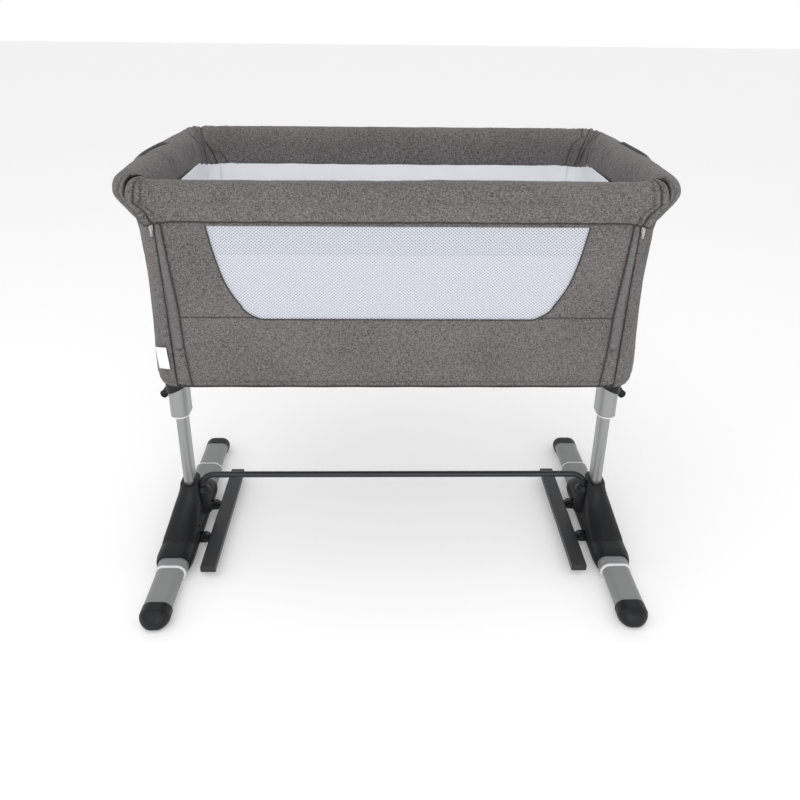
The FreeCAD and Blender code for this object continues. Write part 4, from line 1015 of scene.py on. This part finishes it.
def window_binding():
    """Narrow turned edge of the cloth round the mesh window."""
    zs = np.concatenate([np.linspace(784, 660, 40), np.linspace(657, 621.5, 22)])
    right = [(win_half(z) + 0.6, z) for z in zs]
    left = [(-a, b) for a, b in right[::-1]]
    mid = [(x, 620.6) for x in np.linspace(right[-1][0] - 6, left[0][0] + 6, 60)]
    pts = [(x, z) for x, z in right + mid + left]
    path = np.array([[x, float(front_surface(x, z)) + 0.2, z] for x, z in pts])
    return tube("window_binding", path, 1.1, M_PIPING_DARK_SHADED, sides=6)


wb = window_binding()
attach(wb, "drop_side")


def panel_piping(sx):
    zs = np.linspace(787, 489.5, 130)
    xs = pipe_x(zs)
    d, _ = panel_disp(xs, zs)
    ys = front_surface(xs, zs) - 0.7 - 0.2 * np.sin(zs / 9.0)
    return tube("panel_piping_%s" % ("right" if sx > 0 else "left"), np.column_stack([sx * xs, ys, zs]), 0.95, M_PIPING_DARK_SHADED)


for sx in (-1, 1):
    p_ = panel_piping(sx)
    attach(p_, "drop_side")

def zip_flap(sx):
    """Narrow tape sewn beside the zip, with a rounded lower end."""
    zs = np.concatenate([np.linspace(788, 573, 90), 573 - 13.0 * np.sin(np.linspace(0, np.pi / 2, 10))[1:]])
    us = np.linspace(0, 1, 15)
    rows, uvs, shs = [], [], []
    for z in zs:
        x0 = float(pipe_x(z)) + 1.4
        x1 = PANEL_EDGE + 0.2 - 2.6 * math.exp(-((z - 655) / 62.0) ** 2) - 1.2 * math.exp(-((z - 575) / 20.0) ** 2)
        if z < 573:
            half = (x1 - x0) / 2
            keep = math.sqrt(max(0.0, 1 - ((573 - z) / 13.0) ** 2))
            keep = max(keep, 0.06)
            x0, x1 = x0 + half * (1 - keep), x1 - half * (1 - keep)
        x = x0 + (x1 - x0) * us
        d, _ = panel_disp(x, z + 0 * x)
        lift = 0.5 + 0.8 * np.sin(us * np.pi) + 0.3 * perlin(z / 24.0 + 0 * us, us, 46)
        y = front_surface(x, z) - np.maximum(d, -1.4) - lift
        rows.append(np.column_stack([sx * x, y, np.full(len(x), z)]))
        uvs.append(np.column_stack([x, np.full(len(x), z)]))
        # painted shade along both edges of the tape and over its rounded lower end
        shs.append(0.45 * np.exp(-us / 0.06) + 0.75 * np.exp(-(1 - us) / 0.07) + (0.4 if z < 566 else 0.0))
    ob = grid("zip_flap_%s" % ("right" if sx > 0 else "left"), np.array(rows), np.array(uvs), np.array(shs), M_FLAP)
    return thick(ob, 0.7, 0.0)


for sx in (-1, 1):
    f_ = zip_flap(sx)
    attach(f_, "drop_side")

hem = tube("front_hem", np.array([[x, float(front_surface(x, 489.0)) + 0.9, 488.6 + 0.25 * math.sin(x / 17)] for x in np.linspace(-382.5, 382.5, 160)]), 1.2, M_PIPING_DARK_SHADED)
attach(hem, "drop_side")


def wall_zip(sx):
    """Zip tape behind the parting between the front panel and the end cloth."""
    zs = np.linspace(786, 490, 120)
    x = np.full_like(zs, 384.55)
    y = front_surface(x, zs) + 2.9
    path = np.column_stack([sx * x, y, zs])
    side = np.tile([sx * 0.94, 0.34, 0.0], (len(zs), 1))
    tape = thick(strip("zip_tape_%s" % ("right" if sx > 0 else "left"), path, side, 7.0, M_ZIP, n=4), 0.7, 0.0)
    return tape


for sx in (-1, 1):
    t_ = wall_zip(sx)
    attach(t_, "basket")


# ------------------------------------------------------------------ inside
def lining():
    """White cloth that lines the two ends and the back, with gathers at the corner seams."""
    zs = np.concatenate([np.linspace(552, 770, 40), [776, 782, 788, 793, 797, 800]])
    rows, uvs, shs = [], [], []
    for z in zs:
        t = (z - 552) / 248
        hx, hy, r = 400.5 + 3.0 * t, 226.0 + 3.5 * t, 50.0
        cx, cy = hx - r, hy - r
        pts, nrm = [], []
        for y in np.linspace(-198, cy, 78)[:-1]:
            pts.append((hx, y))
            nrm.append((1, 0))
        for a in np.linspace(0, 90, 26):
            q = math.radians(a)
            pts.append((cx + r * math.cos(q), cy + r * math.sin(q)))
            nrm.append((math.cos(q), math.sin(q)))
        for x in np.linspace(cx, 0, 84)[1:]:
            pts.append((x, hy))
            nrm.append((0, 1))
        P, N = np.array(pts), np.array(nrm, float)
        P = np.concatenate([P, (P * [-1, 1])[::-1][1:]])
        N = np.concatenate([N, (N * [-1, 1])[::-1][1:]])
        L = np.concatenate([[0], np.cumsum(np.linalg.norm(np.diff(P, axis=0), axis=1))])
        L -= L[-1] / 2
        bx = np.abs(P[:, 0])
        corner = np.exp(-((np.hypot(bx - 385, P[:, 1] - 212)) / 55) ** 2)
        back = P[:, 1] > 180
        d = -0.6 + 0.9 * perlin(L / 55, z / 90 + 0 * L, 61)
        d = d - 2.4 * corner * np.abs(perlin(L / 16, z / 130 + 0 * L, 62)) * 1.6 * (0.4 + 0.6 * t)
        d = d - 1.0 * np.abs(perlin(L / 34 + 0 * L, z / 160 + 0 * L, 63)) * 1.5
        seam = bx - 377.0
        d = d - 1.6 * bump(seam, 2.2) * back
        # painted shade in the back-corner seam groove
        sh = 0.35 * bump(seam, 1.6) * back
        Q = P + N * d[:, None]
        rows.append(np.column_stack([Q, np.full(len(Q), z)]))
        uvs.append(np.column_stack([L, np.full(len(L), z)]))
        shs.append(sh)
    ob = grid("lining_cloth", np.array(rows), np.array(uvs), np.array(shs), M_LINING)
    return thick(ob, 1.0, 0.0)


lin = lining()
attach(lin, "basket")
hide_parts("lining")


def drop_lining():
    """White cloth behind the drop side's arms."""
    zs = np.linspace(505, 796, 50)
    rows, uvs, shs = [], [], []
    for z in zs:
        x = np.linspace(-388, 388, 150)
        t = (z - 512) / 299.4
        y = -236.6 - 12.0 * t + 0.8 * perlin(x / 70, z / 60 + 0 * x, 71) - 0.9 * np.abs(perlin(x / 26, z / 120 + 0 * x, 72))
        rows.append(np.column_stack([x, y, np.full(len(x), z)]))
        uvs.append(np.column_stack([x, np.full(len(x), z)]))
        shs.append(0 * x)
    ob = grid("drop_lining", np.array(rows), np.array(uvs), np.array(shs), M_LINING)
    return thick(ob, 1.0, 0.0)


dl = drop_lining()
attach(dl, "drop_side")


def bottom_cloth():
    ys = np.concatenate([np.linspace(-243.2, -38, 34), [-37.5], np.linspace(-34, 34, 12), [37.5], np.linspace(42, 249.6, 34)])
    ss = np.concatenate([[0.0], np.linspace(8, 392, 46), [397.3, 402, 410, 418, 426.2, 429.4]]) / 429.4
    ss = np.concatenate([-ss[::-1][:-1], ss])
    hx, hy, r, cy0 = 429.4, 248.0, 58.0, 2.0
    rows = []
    for y in ys:
        yy = abs(y - cy0) - (hy - r)
        w = hx - r + math.sqrt(max(r * r - max(yy, 0) ** 2, 0)) if yy > 0 else hx
        x = ss * w
        z = 488.0 - 0.7 * np.cos(x / 430 * np.pi / 2) * math.cos(y / 250 * math.pi / 2) + 0.2 * perlin(x / 40, y / 40 + 0 * x, 81)
        rows.append(np.column_stack([x, np.full(len(x), y), np.maximum(z, 487.2)]))
    P = np.array(rows)
    m, n = P.shape[:2]
    F = []
    for i in range(m - 1):
        for j in range(n - 1):
            c = (P[i, j] + P[i + 1, j + 1]) / 2
            if abs(c[1]) < 37.4 and 397.3 < abs(c[0]) < 426.2:
                continue
            F.append((i * n + j, i * n + j + 1, (i + 1) * n + j + 1, (i + 1) * n + j))
    ob = obj_from("bottom_cloth", list(map(tuple, P.reshape(-1, 3))), F, [(p[0], p[1]) for p in P.reshape(-1, 3)], np.zeros(m * n), M_HEATHER)
    return thick(ob, 0.9, 0.0)


bc = bottom_cloth()
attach(bc, "basket")
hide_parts("fabric_bottom")


def mattress():
    """Quilted pad with a crowned top and a soft edge."""
    hx, hy, r, cy = 393.0, 217.0, 45.0, 2.0
    us = np.linspace(-1, 1, 150)
    vs = np.linspace(-1, 1, 90)
    top, bot = [], []
    for v in vs:
        y = v * hy
        yy = abs(y) - (hy - r)
        w = hx - r + math.sqrt(max(r * r - yy * yy, 0)) if yy > 0 else hx
        x = us * w
        ex = w - np.abs(x)
        ey = hy - abs(y)
        cyl = np.minimum(ex, 14) / 14
        cyy = min(ey, 14) / 14
        edge = np.sqrt(np.clip(1 - (1 - cyl) ** 2, 0, 1)) * math.sqrt(max(1 - (1 - cyy) ** 2, 0))
        quilt = np.abs(np.sin((x + y) * np.pi / 95)) ** 0.5 * np.abs(np.sin((x - y) * np.pi / 95)) ** 0.5
        zt = 532.0 + 13.5 * edge + 3.2 * quilt * edge + 0.9 * perlin(x / 90, y / 90 + 0 * x, 91)
        zb = 532.0 - 17.3 * edge
        top.append(np.column_stack([x, np.full(len(x), y + cy), zt]))
        bot.append(np.column_stack([x, np.full(len(x), y + cy), np.maximum(zb, 514.4)]))
    T, B = np.array(top), np.array(bot)
    m, n = T.shape[:2]
    V = list(map(tuple, T.reshape(-1, 3))) + list(map(tuple, B.reshape(-1, 3)))
    F = []
    k = m * n
    for i in range(m - 1):
        for j in range(n - 1):
            a, b, c, d = i * n + j, i * n + j + 1, (i + 1) * n + j + 1, (i + 1) * n + j
            F.append((a, b, c, d))
            F.append((k + d, k + c, k + b, k + a))
    ob = obj_from("mattress_pad", V, F, None, None, M_MATTRESS)
    import bmesh
    bm = bmesh.new()
    bm.from_mesh(ob.data)
    bmesh.ops.remove_doubles(bm, verts=bm.verts, dist=0.0002)
    bmesh.ops.recalc_face_normals(bm, faces=bm.faces)
    bm.to_mesh(ob.data)
    bm.free()
    return ob


mt = mattress()
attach(mt, "basket")
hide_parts("mattress")


def tag():
    """Blank label sewn in beside the zip; it stands off the rounded corner."""
    zt, tw, th = 544.0, 22.0, 42.0
    hx, hy, r = (float(v) for v in outer(zt))
    cx, cy = hx - r, hy - r
    a = -math.acos((384.5 + 9.0 - cx) / r)
    n_, t_ = np.array([math.cos(a), math.sin(a)]), np.array([-math.sin(a), math.cos(a)])
    c0 = np.array([cx, -cy]) + n_ * (r + 1.7)
    rows, uvs = [], []
    for w in np.linspace(0, tw, 13):
        col = []
        for v in np.linspace(-th / 2, th / 2, 20):
            curl = 0.9 * math.sin(w / tw * 2.6) + 0.5 * (v / th) * (w / tw) + 0.25 * math.sin(v / 7.0 + w / 9.0)
            p = c0 + t_ * w + n_ * (curl + 0.076 * v)
            col.append((-p[0], p[1], zt + v - 1.8 * w / tw))
        rows.append(col)
        uvs.append([(w, v) for v in np.linspace(-th / 2, th / 2, 20)])
    ob = grid("label_blank", np.array(rows), np.array(uvs), None, M_TAG)
    return thick(ob, 0.5, 0.0)


tg = tag()
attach(tg, "basket")
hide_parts("side_tag")

# ------------------------------------------------------------------ studio
scene = bpy.context.scene
cam = bpy.data.cameras.new("camera")
cam.sensor_width = 36.0
cam.lens = 764.7 / 800 * 36.0
cam.shift_x = 0.0
cam.shift_y = -0.0625
cam.clip_start, cam.clip_end = 0.05, 100
cob = bpy.data.objects.new("camera", cam)
scene.collection.objects.link(cob)
from mathutils import Matrix
R = Matrix.Rotation(-0.0239, 4, "Z") @ Matrix.Rotation(math.pi / 2 - 0.4289, 4, "X") @ Matrix.Rotation(0.0115, 4, "Z")
cob.matrix_world = Matrix.Translation((-0.0240, -1.4528, 1.1084)) @ R
scene.camera = cob

bpy.ops.mesh.primitive_plane_add(size=30)
floor = bpy.context.object
floor.name = "floor"
floor.location = (0, 6, -0.0002)
fm, fnt, fbs = nodes_of("floor_white")
fbs.inputs["Base Color"].default_value = (0.93, 0.93, 0.93, 1)
fbs.inputs["Roughness"].default_value = 1.0
fbs.inputs["Specular IOR Level"].default_value = 0.0
fbs.inputs["Emission Color"].default_value = (1, 1, 1, 1)
fbs.inputs["Emission Strength"].default_value = 0.16
floor.data.materials.append(fm)

world = bpy.data.worlds.new("studio")
scene.world = world
world.use_nodes = True
world.node_tree.nodes["Background"].inputs[0].default_value = (1, 1, 1, 1)
world.node_tree.nodes["Background"].inputs[1].default_value = 1.0
wtc = world.node_tree.nodes.new("ShaderNodeTexCoord")
wsep = world.node_tree.nodes.new("ShaderNodeSeparateXYZ")
wmr = world.node_tree.nodes.new("ShaderNodeMapRange")
wmr.inputs["From Min"].default_value = 0.25
wmr.inputs["From Max"].default_value = 1.0
wmr.inputs["To Min"].default_value = 1.0
wmr.inputs["To Max"].default_value = 0.62
world.node_tree.links.new(wtc.outputs["Generated"], wsep.inputs[0])
world.node_tree.links.new(wsep.outputs[2], wmr.inputs["Value"])
world.node_tree.links.new(wmr.outputs[0], world.node_tree.nodes["Background"].inputs[1])


def area(name, loc, target, size, power, size_y=None):
    l = bpy.data.lights.new(name, "AREA")
    l.energy = power
    l.shape = "RECTANGLE"
    l.size = size
    l.size_y = size_y or size
    o = bpy.data.objects.new(name, l)
    scene.collection.objects.link(o)
    from mathutils import Vector
    d = Vector(target) - Vector(loc)
    o.location = loc
    o.rotation_euler = d.to_track_quat("-Z", "Y").to_euler()
    return o


area("key_top", (-0.7, -1.2, 2.8), (0, 0, 0.5), 2.4, 18)
area("fill_front", (0.3, -3.0, 1.6), (0, 0, 0.6), 2.0, 26)
scene.view_settings.view_transform = "Standard"
scene.view_settings.look = "None"
scene.view_settings.exposure = 0.0
